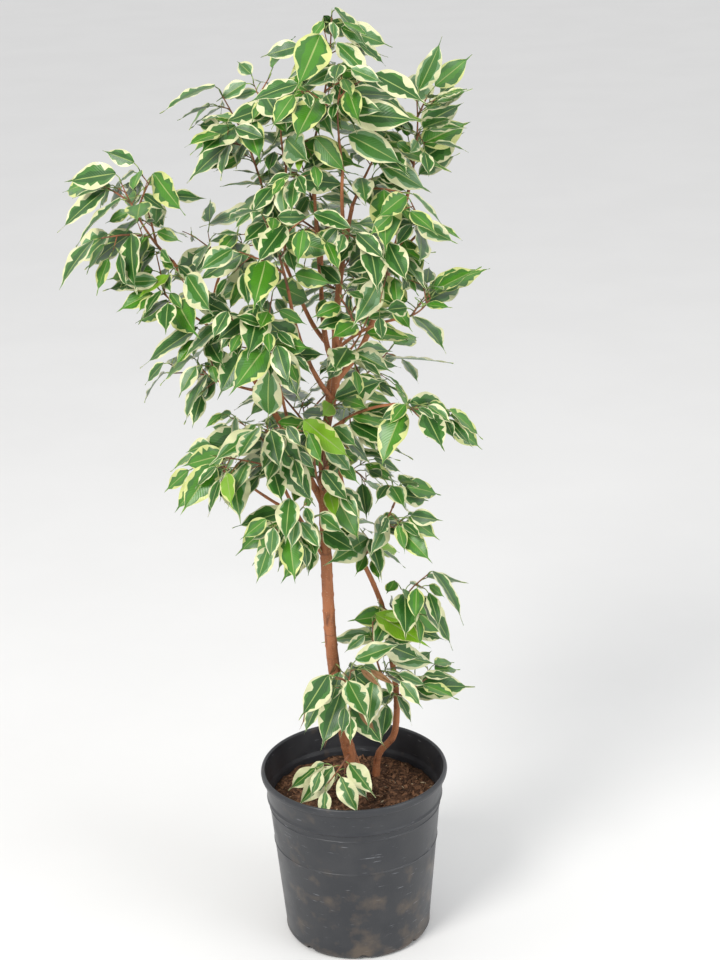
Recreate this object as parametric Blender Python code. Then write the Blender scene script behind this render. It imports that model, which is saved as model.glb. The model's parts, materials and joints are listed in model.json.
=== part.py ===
"""Weeping fig with cream-edged leaves in a black nursery pot.

Metres, +Z up. The origin is the middle of the flat underside of the pot. X is to the right, Y is to
the back. The stems stand on the soil, the boughs leave the stems, and every mass of foliage is
one stem with side shoots and leaves, grown by one seeded rule from the tip of its bough.
"""

import math
import random
from typing import NamedTuple

import bmesh
import bpy
from mathutils import Quaternion, Vector
from mathutils.bvhtree import BVHTree

# Pot
POT_HEIGHT = 0.247
LIP_RADIUS = 0.127
LIP_HEIGHT = 0.010
WALL_TOP_RADIUS = 0.1211
WALL_SLOPE = 0.0895
WALL = 0.0024
COLLAR_STEP = 0.0016
COLLAR_DEPTH = 0.045
RIB_DEPTHS = (0.053, 0.106)
RIB_HEIGHT = 0.0012
BASE_LINE_DEPTH = 0.2346
FOOT_RADIUS = 0.0935
FLOOR_PAD_RADIUS = 0.062
CHANNEL_OUTER_RADIUS = 0.086
CHANNEL_HEIGHT = 0.009
NOTCH_COUNT = 8
NOTCH_WIDTH = 0.017
NOTCH_HEIGHT = 0.0085
NOTCH_SIDES = 8
NOTCH_TURN = math.radians(3)
POT_SEGMENTS = 28

# Soil
SOIL_HEIGHT = 0.207
SOIL_FLAT_RADIUS = 0.060
SOIL_EDGE_HEIGHT = 0.199

# Clearance between neighbouring solids
GAP = 0.0003
LEAF_GAP = 0.0007

# Trunk: right, back, height of the stations of its centre line, and its radii
TRUNK_BASE = (0.009, 0.024)
TRUNK_STATIONS = (
    (-0.006, 0.020, 0.255),
    (-0.016, 0.015, 0.325),
    (-0.025, 0.010, 0.415),
    (-0.028, 0.004, 0.520),
    (-0.028, 0.000, 0.662),
    (-0.023, 0.000, 0.733),
    (-0.009, 0.000, 0.791),
    (-0.007, 0.000, 0.863),
    (0.001, 0.000, 0.931),
    (0.010, 0.000, 0.983),
    (0.019, 0.000, 1.024),
)
TRUNK_FOOT_RADIUS = 0.0085
TRUNK_TIP_RADIUS = 0.0024
TRUNK_FLARE = 0.30
TRUNK_FLARE_HEIGHT = 0.022
TRUNK_SIDES = 10
TRUNK_RINGS = 22

# Second stem
SECOND_BASE = (0.030, 0.038)
SECOND_STATIONS = (
    (0.036, 0.040, 0.243),
    (0.056, 0.040, 0.269),
    (0.061, 0.040, 0.322),
    (0.055, 0.040, 0.390),
    (0.043, 0.040, 0.468),
    (0.020, 0.042, 0.529),
    (0.004, 0.045, 0.585),
    (-0.007, 0.055, 0.655),
)
SECOND_FOOT_RADIUS = 0.0050
SECOND_TIP_RADIUS = 0.0024
SECOND_SIDES = 6
SECOND_RINGS = 15

BOUGH_SIDES = 5
BOUGH_RINGS = 6

# Twigs: the stem of a mass and its side shoots
TWIG_SIDES = 3
TWIG_RADIUS = 0.0024
TWIG_TIP_RADIUS = 0.0015
TWIG_SWELL = 1.25
SHOOT_SHARE = 0.75
STEM_STEPS = 4
SHOOT_STEPS = 2
FIRST_SHOOT = 0.10
SHOOT_REACH = 0.78
SHOOT_JITTER = (0.2, 0.8)
SHOOT_FORWARD = 0.6
SHOOT_ASIDE = 0.8
SHOOT_LIFT = (0.0, 0.35)
SHOOT_VARIETY = (0.75, 1.2)
SHOOT_TAPER = (1.1, 0.4)
SHOOT_SAG = (0.05, 0.30)
TURN = math.radians(137.5)

# Leaves: blade, petiole, and how each one stands on its twig
LEAF_LENGTH = (0.056, 0.090)
LEAF_WIDTH = 0.48
LEAF_FOLD = 0.06
LEAF_ARCH = 0.16
LEAF_SHOULDERS = ((0.28, 0.93, 1.0), (0.66, 0.84, 0.6))
PETIOLE_LENGTH = (0.010, 0.017)
PETIOLE_RADIUS = 0.0011
PETIOLE_TOP = 0.0007
PETIOLE_ROOT = 0.45
LEAF_SPACING = 0.0265
FIRST_LEAF = 0.45
LAST_LEAF = 0.985
LEAF_TRIES = 6
LATE_TRY_SIZE = 0.85
LEAF_SWING = 0.6
LEAF_ROLL = 0.6
LEAF_HANG = (0.5, 1.4)
WIDTH_VARIETY = (0.88, 1.10)
ARCH_VARIETY = (0.2, 1.3)
STALK_FORWARD = 0.5
STALK_ASIDE = 0.9
STALK_OUT = 0.2
STALK_UP = 0.15
LIGHT_UP = 0.75
LIGHT_OUT = 0.40
LIGHT_FRONT = 0.50

UP = Vector((0.0, 0.0, 1.0))
FRONT = Vector((0.0, -1.0, 0.0))


class Bough(NamedTuple):
    """A tapering limb: where it leaves its parent, its tip, how far its middle bows, its radii."""

    name: str
    parent: str
    at: float
    tip: tuple
    bow: tuple
    radius: float
    tip_radius: float


class Mass(NamedTuple):
    """A mass of foliage: its stem, the side shoots on it, how its leaves hang, and its seed."""

    name: str
    parent: str
    at: float
    tip: tuple
    bow: tuple
    shoots: int
    shoot_length: float
    spread: float
    droop: float
    seed: int


BOUGHS = (
    Bough("left_bough", "trunk", 0.51, (-0.205, -0.020, 0.964), (0.030, 0.000, -0.015), 0.0046, 0.0023),
    Bough("back_left_bough", "trunk", 0.74, (-0.021, 0.050, 0.959), (-0.015, 0.020, -0.045), 0.0039, 0.0023),
    Bough("mid_left_bough", "trunk", 0.69, (-0.063, -0.050, 0.931), (-0.015, -0.020, -0.010), 0.0034, 0.0020),
    Bough("far_left_bough", "back_left_bough", 0.23, (-0.085, 0.030, 0.993), (0.015, 0.045, -0.080), 0.0030, 0.0018),
    Bough("right_bough", "trunk", 0.72, (0.089, 0.030, 1.032), (0.000, 0.030, -0.100), 0.0043, 0.0021),
    Bough("right_twig", "trunk", 0.77, (0.074, -0.080, 0.900), (-0.005, -0.020, 0.020), 0.0023, 0.0016),
    Bough("right_low_bough", "trunk", 0.63, (0.064, -0.070, 0.787), (-0.010, -0.010, 0.020), 0.0026, 0.0016),
    Bough("low_left_bough", "trunk", 0.42, (-0.079, -0.050, 0.675), (-0.005, 0.005, -0.005), 0.0034, 0.0020),
    Bough("upper_bough", "trunk", 0.94, (0.008, -0.040, 1.078), (-0.005, -0.020, 0.005), 0.0028, 0.0018),
    Bough("top_bough", "back_left_bough", 0.69, (-0.026, 0.000, 1.104), (-0.005, -0.025, -0.010), 0.0025, 0.0016),
    Bough("high_left_bough", "far_left_bough", 0.67, (-0.061, 0.010, 1.072), (-0.005, -0.015, -0.005), 0.0021, 0.0015),
    Bough("left_side_bough", "left_bough", 0.60, (-0.177, -0.050, 0.899), (0.000, -0.010, 0.015), 0.0021, 0.0015),
    Bough("left_rise_bough", "left_bough", 0.76, (-0.146, 0.000, 0.943), (-0.010, 0.015, 0.000), 0.0021, 0.0015),
    Bough("left_low_bough", "left_bough", 0.47, (-0.139, -0.060, 0.816), (0.000, -0.020, 0.005), 0.0021, 0.0015),
    Bough("inner_left_bough", "left_bough", 0.23, (-0.081, -0.070, 0.833), (0.000, -0.005, -0.005), 0.0025, 0.0016),
    Bough("right_side_bough", "right_bough", 0.65, (0.095, -0.020, 0.986), (0.005, -0.015, 0.010), 0.0020, 0.0015),
    Bough("low_left_out_bough", "low_left_bough", 0.61, (-0.133, -0.060, 0.691), (0.000, 0.010, -0.010), 0.0023, 0.0015),
    Bough("right_inner_bough", "right_bough", 0.50, (0.060, -0.020, 0.937), (0.000, -0.015, 0.000), 0.0020, 0.0015),
    Bough("back_left_low_bough", "left_bough", 0.19, (-0.079, 0.050, 0.692), (-0.005, 0.015, -0.005), 0.0021, 0.0015),
    Bough("back_bough", "trunk", 0.67, (0.005, 0.120, 0.827), (-0.020, 0.000, -0.025), 0.0033, 0.0020),
)

MASSES = (
    Mass("left_end_foliage", "left_bough", 1.00, (-0.260, -0.030, 1.065), (0.000, -0.010, -0.020), 4, 0.085, 0.150, 0.90, 537),
    Mass("upper_left_foliage", "far_left_bough", 1.00, (-0.135, -0.010, 1.165), (0.020, -0.020, 0.005), 4, 0.086, 0.125, 0.85, 436),
    Mass("top_foliage", "top_bough", 1.00, (0.000, -0.020, 1.255), (0.010, 0.000, 0.000), 4, 0.049, 0.120, 1.00, 405),
    Mass("top_right_foliage", "right_bough", 1.00, (0.100, 0.010, 1.150), (0.010, 0.000, 0.010), 3, 0.044, 0.135, 0.10, 322),
    Mass("high_left_foliage", "high_left_bough", 1.00, (-0.060, -0.017, 1.168), (-0.010, -0.017, -0.006), 2, 0.069, 0.115, 0.90, 204),
    Mass("upper_foliage", "upper_bough", 1.00, (0.010, -0.058, 1.186), (-0.011, -0.030, 0.031), 4, 0.053, 0.115, 0.75, 403),
    Mass("leader_foliage", "trunk", 1.00, (0.060, -0.020, 1.110), (-0.005, 0.000, -0.005), 2, 0.056, 0.120, 0.80, 425),
    Mass("back_left_foliage", "back_left_bough", 1.00, (-0.045, 0.080, 1.065), (0.005, -0.010, -0.005), 4, 0.060, 0.115, 0.95, 352),
    Mass("mid_left_foliage", "mid_left_bough", 1.00, (-0.090, -0.070, 1.030), (0.005, 0.000, 0.005), 3, 0.092, 0.115, 1.10, 137),
    Mass("left_rise_foliage", "left_rise_bough", 1.00, (-0.125, 0.000, 0.990), (-0.005, 0.000, -0.005), 3, 0.061, 0.110, 0.90, 284),
    Mass("left_side_foliage", "left_side_bough", 1.00, (-0.220, -0.060, 0.940), (0.005, 0.010, -0.015), 3, 0.070, 0.120, 0.85, 417),
    Mass("left_low_foliage", "left_low_bough", 1.00, (-0.175, -0.060, 0.840), (-0.005, 0.000, -0.010), 2, 0.070, 0.120, 1.15, 303),
    Mass("inner_left_foliage", "inner_left_bough", 1.00, (-0.100, -0.090, 0.910), (0.000, 0.000, 0.000), 4, 0.075, 0.115, 1.05, 70),
    Mass("right_side_foliage", "right_side_bough", 1.00, (0.110, -0.030, 1.005), (0.005, 0.010, -0.010), 1, 0.069, 0.110, 0.65, 284),
    Mass("right_twig_foliage", "right_twig", 1.00, (0.110, -0.080, 0.925), (0.005, 0.000, -0.010), 2, 0.038, 0.110, 0.30, 383),
    Mass("right_low_foliage", "right_low_bough", 1.00, (0.120, -0.080, 0.780), (0.015, -0.010, -0.005), 2, 0.045, 0.110, 0.80, 468),
    Mass("right_inner_foliage", "right_inner_bough", 1.00, (0.060, -0.055, 0.980), (0.005, -0.005, 0.000), 4, 0.070, 0.110, 1.00, 388),
    Mass("right_mid_foliage", "trunk", 0.76, (0.035, -0.090, 0.910), (0.000, -0.030, -0.015), 2, 0.061, 0.110, 0.50, 482),
    Mass("low_left_foliage", "low_left_bough", 1.00, (-0.095, -0.070, 0.765), (-0.010, 0.000, 0.000), 5, 0.081, 0.120, 1.05, 219),
    Mass("low_left_out_foliage", "low_left_out_bough", 1.00, (-0.165, -0.060, 0.700), (0.000, 0.000, 0.010), 2, 0.057, 0.115, 1.15, 550),
    Mass("low_left_hang_foliage", "trunk", 0.46, (-0.070, -0.090, 0.665), (-0.005, -0.030, 0.000), 3, 0.069, 0.110, 1.30, 25),
    Mass("front_low_foliage", "trunk", 0.54, (-0.035, -0.076, 0.757), (-0.011, -0.031, -0.007), 4, 0.081, 0.110, 1.15, 267),
    Mass("right_trunk_foliage", "trunk", 0.57, (0.002, -0.049, 0.758), (-0.023, -0.016, 0.017), 3, 0.081, 0.110, 0.80, 173),
    Mass("second_top_foliage", "second_stem", 1.00, (0.010, 0.056, 0.709), (0.007, 0.012, -0.050), 2, 0.080, 0.120, 0.95, 192),
    Mass("second_high_foliage", "second_stem", 0.73, (0.070, -0.020, 0.655), (0.010, -0.020, 0.015), 3, 0.038, 0.105, 0.80, 593),
    Mass("second_right_foliage", "second_stem", 0.43, (0.105, -0.020, 0.535), (-0.020, -0.020, 0.040), 2, 0.041, 0.105, 1.20, 185),
    Mass("second_mid_foliage", "second_stem", 0.30, (0.030, -0.020, 0.470), (-0.015, -0.020, -0.020), 2, 0.044, 0.105, 0.95, 59),
    Mass("far_right_foliage", "second_stem", 0.28, (0.107, 0.012, 0.372), (-0.016, -0.043, 0.008), 0, 0.034, 0.085, 0.60, 472),
    Mass("low_front_foliage", "trunk", 0.15, (0.000, -0.050, 0.415), (0.000, -0.045, 0.015), 3, 0.044, 0.100, 1.40, 223),
    Mass("foot_foliage", "trunk", 0.06, (-0.035, -0.075, 0.260), (0.005, -0.025, 0.020), 0, 0.034, 0.085, 1.10, 492),
    Mass("back_high_foliage", "trunk", 0.86, (-0.010, 0.130, 0.960), (0.000, 0.050, -0.050), 3, 0.068, 0.130, 0.50, 169),
    Mass("back_mid_foliage", "back_bough", 1.00, (0.020, 0.170, 0.895), (0.000, 0.010, -0.020), 4, 0.068, 0.130, 0.60, 195),
    Mass("back_right_foliage", "trunk", 0.70, (0.065, 0.120, 0.800), (0.005, 0.040, -0.025), 3, 0.092, 0.130, 0.75, 417),
    Mass("back_low_foliage", "trunk", 0.60, (-0.055, 0.120, 0.730), (-0.010, 0.040, -0.020), 5, 0.103, 0.130, 0.70, 545),
    Mass("back_left_low_foliage", "back_left_low_bough", 1.00, (-0.100, 0.085, 0.710), (0.000, -0.005, 0.000), 4, 0.070, 0.130, 0.70, 489),
)


def remove_everything():
    for thing in list(bpy.data.objects):
        bpy.data.objects.remove(thing, do_unlink=True)


def material(name, colour, roughness, metallic=0.0):
    made = bpy.data.materials.new(name)
    made.use_nodes = True
    shader = made.node_tree.nodes["Principled BSDF"]
    shader.inputs["Base Color"].default_value = (*colour, 1.0)
    shader.inputs["Roughness"].default_value = roughness
    shader.inputs["Metallic"].default_value = metallic
    made.diffuse_color = (*colour, 1.0)
    return made


def solid(name, points, faces, finish=None, smooth=False):
    """Makes an object from points and faces."""
    mesh = bpy.data.meshes.new(name)
    mesh.from_pydata([tuple(point) for point in points], [], faces)
    mesh.update()
    if smooth:
        mesh.shade_smooth()
        mesh.set_sharp_from_angle(angle=math.radians(40))
    made = bpy.data.objects.new(name, mesh)
    if finish:
        mesh.materials.append(finish)
    bpy.context.scene.collection.objects.link(made)
    return made


def smooth_path(stations, count):
    """Points evenly spaced along a Catmull-Rom curve through the stations."""
    stations = [Vector(station) for station in stations]
    fine = []
    for index in range(len(stations) - 1):
        before = stations[max(index - 1, 0)]
        start, end = stations[index], stations[index + 1]
        after = stations[min(index + 2, len(stations) - 1)]
        for step in range(12):
            t = step / 12
            fine.append(
                0.5 * (2 * start + (end - before) * t
                       + (2 * before - 5 * start + 4 * end - after) * t * t
                       + (3 * start - before - 3 * end + after) * t ** 3)
            )
    fine.append(stations[-1])
    return evenly(fine, count)


def bowed_path(start, tip, bow, count):
    """Points evenly spaced along a curve whose middle is pulled aside by the bow."""
    start, tip = Vector(start), Vector(tip)
    control = (start + tip) / 2 + Vector(bow)
    fine = []
    for step in range(33):
        t = step / 32
        fine.append((1 - t) ** 2 * start + 2 * t * (1 - t) * control + t * t * tip)
    return evenly(fine, count)


def evenly(fine, count):
    """The same line with its points at equal steps of its length."""
    lengths = [0.0]
    for first, second in zip(fine, fine[1:]):
        lengths.append(lengths[-1] + (second - first).length)
    points = []
    index = 0
    for step in range(count):
        wanted = lengths[-1] * step / (count - 1)
        while index < len(fine) - 2 and lengths[index + 1] < wanted:
            index += 1
        run = lengths[index + 1] - lengths[index]
        share = (wanted - lengths[index]) / run if run else 0.0
        points.append(fine[index].lerp(fine[index + 1], min(max(share, 0.0), 1.0)))
    return points


def along(path, at):
    """The point and the direction at a share of a path's length."""
    place = at * (len(path) - 1)
    index = min(int(place), len(path) - 2)
    step = path[index + 1] - path[index]
    return path[index] + step * (place - index), step.normalized()


def tube(path, radii, sides, start_direction=None):
    """Points and faces of a closed tube with flat ends, its rings carried along without twist."""
    points = []
    first = start_direction or (path[1] - path[0]).normalized()
    reference = first.orthogonal().normalized()
    previous = first
    for index, centre in enumerate(path):
        if index == 0:
            heading = first
        elif index == len(path) - 1:
            heading = (path[-1] - path[-2]).normalized()
        else:
            heading = (path[index + 1] - path[index - 1]).normalized()
        reference = previous.rotation_difference(heading) @ reference
        reference = (reference - heading * reference.dot(heading)).normalized()
        across = heading.cross(reference)
        for side in range(sides):
            angle = math.tau * side / sides
            offset = reference * math.cos(angle) + across * math.sin(angle)
            points.append(centre + offset * radii[index])
        previous = heading
    faces = [tuple(range(sides))[::-1]]
    for ring in range(len(path) - 1):
        low = ring * sides
        for side in range(sides):
            after = (side + 1) % sides
            faces.append((low + side, low + after, low + sides + after, low + sides + side))
    last = (len(path) - 1) * sides
    faces.append(tuple(range(last, last + sides)))
    return points, faces


class Limb:
    """A stem or bough: its centre line, its radii, and the body that others keep clear of."""

    def __init__(self, name, path, radii, sides, start_direction=None):
        self.name = name
        self.path = path
        self.radii = radii
        self.sides = sides
        self.shape = tube(path, radii, sides, start_direction)
        self.body = body(*self.shape)

    def radius_at(self, at):
        place = at * (len(self.radii) - 1)
        index = min(int(place), len(self.radii) - 2)
        share = place - index
        return self.radii[index] * (1 - share) + self.radii[index + 1] * share


class Leaf(NamedTuple):
    """A leaf: the root of its petiole, the base of its blade, its directions and its size."""

    root: Vector
    base: Vector
    heading: Vector
    face: Vector
    length: float
    width: float
    arch: float


def body(points, faces):
    """A shape to test others against: its box and its search tree."""
    low = Vector([min(point[axis] for point in points) for axis in range(3)])
    high = Vector([max(point[axis] for point in points) for axis in range(3)])
    return low, high, BVHTree.FromPolygons([tuple(point) for point in points], faces)


def meets(shape, others):
    low, high, tree = shape
    for other_low, other_high, other_tree in others:
        if any(low[axis] > other_high[axis] or high[axis] < other_low[axis] for axis in range(3)):
            continue
        if tree.overlap(other_tree):
            return True
    return False


def turned_towards(leaf, direction):
    """The leaf's sideways and upward directions, tipped over so that they stand square to another."""
    tip_over = leaf.heading.rotation_difference(direction)
    return tip_over @ leaf.face.cross(leaf.heading), tip_over @ leaf.face


def stalk_ring(leaf, centre, direction, share=1.0, ease=0.0):
    """Three points round the petiole: left, right and below."""
    across, lift = turned_towards(leaf, direction)
    wide = PETIOLE_RADIUS * share + ease
    high = PETIOLE_TOP * share + ease
    return [centre - across * wide + lift * high, centre + across * wide + lift * high, centre - lift * wide]


def leaf_blade(leaf, ease=0.0):
    """Points of a blade: three at its base, two on each edge from base to tip, and its tip.

    The blade arches down towards its tip and folds up from its midrib. Ease makes it fatter.
    """
    across = leaf.face.cross(leaf.heading)
    stalk = (leaf.base - leaf.root).normalized()
    points = stalk_ring(leaf, leaf.base, (stalk + leaf.heading).normalized(), ease=ease)
    for forward, share, rise in LEAF_SHOULDERS:
        middle = leaf.base + leaf.heading * (leaf.length * forward)
        lift = leaf.face * (LEAF_FOLD * leaf.width * rise - leaf.arch * leaf.length * forward ** 2)
        half = across * (leaf.width / 2 * share + ease)
        points += [middle + lift - half, middle + lift + half]
    points.append(leaf.base + leaf.heading * (leaf.length + ease) - leaf.face * (leaf.arch * leaf.length))
    return points


BLADE_FACES = (
    (0, 3, 5), (0, 5, 7), (0, 7, 1), (1, 7, 6), (1, 6, 4),
    (3, 0, 2), (5, 3, 2), (7, 5, 2), (6, 7, 2), (4, 6, 2), (1, 4, 2),
)
BLADE_TIP = 7


def blade_body(leaf):
    """The blade alone, a little fatter than life, for the test against its neighbours."""
    return body(leaf_blade(leaf, LEAF_GAP), [*BLADE_FACES, (0, 1, 2)])


def leaf_solid(leaf):
    """Points and faces of one closed leaf with its petiole, three-sided."""
    blade = leaf_blade(leaf)
    foot = len(blade)
    points = blade + stalk_ring(leaf, leaf.root, (leaf.base - leaf.root).normalized(), PETIOLE_ROOT)
    faces = [*BLADE_FACES, (foot, foot + 1, foot + 2)]
    for first, second in ((2, 0), (1, 2), (0, 1)):
        faces.append((first, second, second + foot, first + foot))
    return points, faces


def grow_twig(mass, start, heading, length, rng):
    """A side shoot: it sets off along the heading and bends down under its leaves."""
    sag = length * rng.uniform(*SHOOT_SAG) * mass.droop
    tip = start + heading * length - UP * sag
    return bowed_path(start, tip, UP * (sag / 2), SHOOT_STEPS + 1)


def twig_radii(thick, count):
    return [thick + (TWIG_TIP_RADIUS - thick) * index / (count - 1) for index in range(count)]


def within(mass, stem, point):
    """True where the point lies in the mass's own space, round its stem."""
    return min((point - place).length for place in stem) < mass.spread


def leaf_side(forward, turn):
    """The level direction in which a leaf leaves its twig, to one side and the other in turn."""
    level = forward.cross(UP)
    if level.length < 0.35:
        level = Vector((math.cos(turn), math.sin(turn), 0.0))
    return level.normalized() * (1 if math.sin(turn) > 0 else -1)


def lay_leaf(mass, twig, at, turn, stem, rng, own, others, middle):
    """One leaf at a share of a twig, or None where no try finds room for it."""
    point, forward = along(twig, at)
    side = leaf_side(forward, turn)
    outward = Vector((point.x - middle.x, point.y - middle.y, 0.0))
    outward = outward.normalized() if outward.length > 0.01 else FRONT
    light = UP * LIGHT_UP + outward * LIGHT_OUT + FRONT * LIGHT_FRONT
    for attempt in range(LEAF_TRIES):
        length = rng.uniform(*LEAF_LENGTH) * (1.0 if attempt < LEAF_TRIES // 2 else LATE_TRY_SIZE)
        swung = Quaternion(UP, rng.uniform(-LEAF_SWING, LEAF_SWING)) @ side
        if at < LAST_LEAF:
            stalk = forward * STALK_FORWARD + swung * STALK_ASIDE + outward * STALK_OUT + UP * STALK_UP
        else:
            stalk = forward + swung * 0.3
        stalk.normalize()
        base = point + stalk * rng.uniform(*PETIOLE_LENGTH)
        heading = (stalk + outward * STALK_OUT - UP * mass.droop * rng.uniform(*LEAF_HANG)).normalized()
        face = (light - heading * light.dot(heading)).normalized()
        face = Quaternion(heading, rng.uniform(-LEAF_ROLL, LEAF_ROLL)) @ face
        width = length * LEAF_WIDTH * rng.uniform(*WIDTH_VARIETY)
        leaf = Leaf(point, base, heading, face, length, width, LEAF_ARCH * rng.uniform(*ARCH_VARIETY))
        blade = blade_body(leaf)
        stalk_body = body(*tube([point, base], [PETIOLE_RADIUS + LEAF_GAP] * 2, TWIG_SIDES))
        if not within(mass, stem, leaf_blade(leaf)[BLADE_TIP]):
            continue
        if meets(blade, own) or meets(blade, others) or meets(stalk_body, others):
            continue
        own.append(blade)
        return leaf
    return None


def mass_stem(mass, limbs):
    """The centre line of a mass's stem, just clear of its limb, its first direction and thickness."""
    parent = limbs[mass.parent]
    origin, direction = along(parent.path, mass.at)
    tip = Vector(mass.tip)
    reach = GAP
    if mass.at < 1.0:
        away = tip - origin
        direction = (away - direction * away.dot(direction)).normalized()
        reach = parent.radius_at(mass.at) + GAP * 2
    path = bowed_path(origin + direction * reach, tip, mass.bow, STEM_STEPS + 1)
    return path, direction, min(parent.radius_at(mass.at), TWIG_RADIUS) * TWIG_SWELL


def grow_mass(mass, limbs, others):
    """The twigs and leaves of a mass, each twig as a path with radii and a first direction."""
    rng = random.Random(mass.seed)
    stem, direction, thick = mass_stem(mass, limbs)
    twigs = [(stem, twig_radii(thick, len(stem)), direction)]
    own = [body(*tube(stem, twigs[0][1], TWIG_SIDES, direction))]
    turn = rng.uniform(0, math.tau)
    for index in range(mass.shoots):
        at = FIRST_SHOOT + SHOOT_REACH * (index + rng.uniform(*SHOOT_JITTER)) / mass.shoots
        point, forward = along(stem, at)
        turn += TURN
        side = Quaternion(forward, turn) @ forward.orthogonal().normalized()
        heading = forward * SHOOT_FORWARD + side * SHOOT_ASIDE + UP * rng.uniform(*SHOOT_LIFT)
        length = mass.shoot_length * rng.uniform(*SHOOT_VARIETY) * (SHOOT_TAPER[0] - SHOOT_TAPER[1] * at)
        path = grow_twig(mass, point, heading.normalized(), length, rng)
        radii = twig_radii(thick * SHOOT_SHARE, len(path))
        if meets(body(*tube(path, [radius + LEAF_GAP for radius in radii], TWIG_SIDES)), others):
            continue
        twigs.append((path, radii, None))
        own.append(body(*tube(path, radii, TWIG_SIDES)))
    leaves = []
    trunk = limbs["trunk"].path
    middle = trunk[len(trunk) // 2]
    for path, radii, start_direction in twigs:
        length = sum((after - before).length for before, after in zip(path, path[1:]))
        count = max(1, round(length / LEAF_SPACING))
        turn = rng.choice((0.5, 0.5 + math.pi))
        for index in range(count + 1):
            at = min((index + FIRST_LEAF) / (count + FIRST_LEAF), LAST_LEAF)
            leaf = lay_leaf(mass, path, at, turn, stem, rng, own, others, middle)
            turn += math.pi
            if leaf:
                leaves.append(leaf)
    return twigs, leaves


def grow_limbs():
    """Every stem and bough as a centre line with radii, parents before their children."""
    limbs = {}
    base = [(*TRUNK_BASE, SOIL_HEIGHT + GAP)]
    path = smooth_path(base + list(TRUNK_STATIONS), TRUNK_RINGS)
    radii = []
    for index, point in enumerate(path):
        share = index / (len(path) - 1)
        rise = point.z - SOIL_HEIGHT
        flare = 1 + TRUNK_FLARE * math.exp(-rise / TRUNK_FLARE_HEIGHT)
        taper = TRUNK_FOOT_RADIUS + (TRUNK_TIP_RADIUS - TRUNK_FOOT_RADIUS) * share ** 2
        radii.append(taper * flare)
    limbs["trunk"] = Limb("trunk", path, radii, TRUNK_SIDES, UP)
    base = [(*SECOND_BASE, SOIL_HEIGHT + GAP)]
    path = smooth_path(base + list(SECOND_STATIONS), SECOND_RINGS)
    radii = []
    for index in range(len(path)):
        share = index / (len(path) - 1)
        radii.append(SECOND_FOOT_RADIUS + (SECOND_TIP_RADIUS - SECOND_FOOT_RADIUS) * share)
    limbs["second_stem"] = Limb("second_stem", path, radii, SECOND_SIDES, UP)
    for bough in BOUGHS:
        origin, direction = along(limbs[bough.parent].path, bough.at)
        path = bowed_path(origin, bough.tip, bough.bow, BOUGH_RINGS)
        count = len(path)
        step = (bough.tip_radius - bough.radius) / (count - 1)
        radii = [bough.radius + step * index for index in range(count)]
        limbs[bough.name] = Limb(bough.name, path, radii, BOUGH_SIDES)
    return limbs


def wall_radius(height):
    """Outer radius of the tapering pot wall at a height."""
    return WALL_TOP_RADIUS - WALL_SLOPE * (POT_HEIGHT - height)


def pot_profile():
    """The closed outline of the pot's wall and floor, as radius and height, from the axis outwards."""
    outline = [
        (0.0, 0.0),
        (FLOOR_PAD_RADIUS, 0.0),
        (FLOOR_PAD_RADIUS + 0.002, CHANNEL_HEIGHT),
        (CHANNEL_OUTER_RADIUS, CHANNEL_HEIGHT),
        (CHANNEL_OUTER_RADIUS + 0.002, 0.0),
        (FOOT_RADIUS, 0.0),
        (FOOT_RADIUS + 0.0045, 0.0022),
        (FOOT_RADIUS + 0.0068, 0.0065),
    ]
    base = POT_HEIGHT - BASE_LINE_DEPTH
    outline.append((wall_radius(base), base))
    for depth in reversed(RIB_DEPTHS):
        height = POT_HEIGHT - depth
        outline.append((wall_radius(height - RIB_HEIGHT), height - RIB_HEIGHT))
        outline.append((wall_radius(height) + RIB_HEIGHT, height))
        outline.append((wall_radius(height + RIB_HEIGHT), height + RIB_HEIGHT))
    collar = POT_HEIGHT - COLLAR_DEPTH
    outline += [
        (wall_radius(collar), collar),
        (wall_radius(collar) + COLLAR_STEP * 2, collar + 0.003),
        (wall_radius(collar) + COLLAR_STEP, collar + 0.007),
        (LIP_RADIUS - 0.0045, POT_HEIGHT - LIP_HEIGHT - 0.002),
        (LIP_RADIUS - 0.0008, POT_HEIGHT - LIP_HEIGHT),
        (LIP_RADIUS, POT_HEIGHT - LIP_HEIGHT / 2),
        (LIP_RADIUS - 0.0012, POT_HEIGHT - 0.0012),
        (LIP_RADIUS - 0.0032, POT_HEIGHT),
        (LIP_RADIUS - 0.0055, POT_HEIGHT - 0.0018),
        (wall_radius(collar + 0.010) + COLLAR_STEP - WALL, collar + 0.010),
        (wall_radius(collar + 0.004) - WALL, collar + 0.004),
        (wall_radius(CHANNEL_HEIGHT + WALL) - WALL, CHANNEL_HEIGHT + WALL),
        (FLOOR_PAD_RADIUS - 0.001, CHANNEL_HEIGHT + WALL),
        (FLOOR_PAD_RADIUS - 0.003, WALL),
        (0.0, WALL),
    ]
    return outline


def soil_profile():
    """The outline of the soil that fills the pot, a little proud in the middle."""
    floor = CHANNEL_HEIGHT + WALL + GAP
    edge = wall_radius(SOIL_EDGE_HEIGHT) - WALL - GAP
    return [
        (0.0, WALL + GAP),
        (FLOOR_PAD_RADIUS - 0.004, WALL + GAP),
        (FLOOR_PAD_RADIUS - 0.002, floor),
        (wall_radius(floor) - WALL - GAP, floor),
        (edge, SOIL_EDGE_HEIGHT),
        ((edge + SOIL_FLAT_RADIUS) / 2, (SOIL_EDGE_HEIGHT + SOIL_HEIGHT) / 2 + 0.001),
        (SOIL_FLAT_RADIUS, SOIL_HEIGHT),
        (0.0, SOIL_HEIGHT),
    ]


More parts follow.
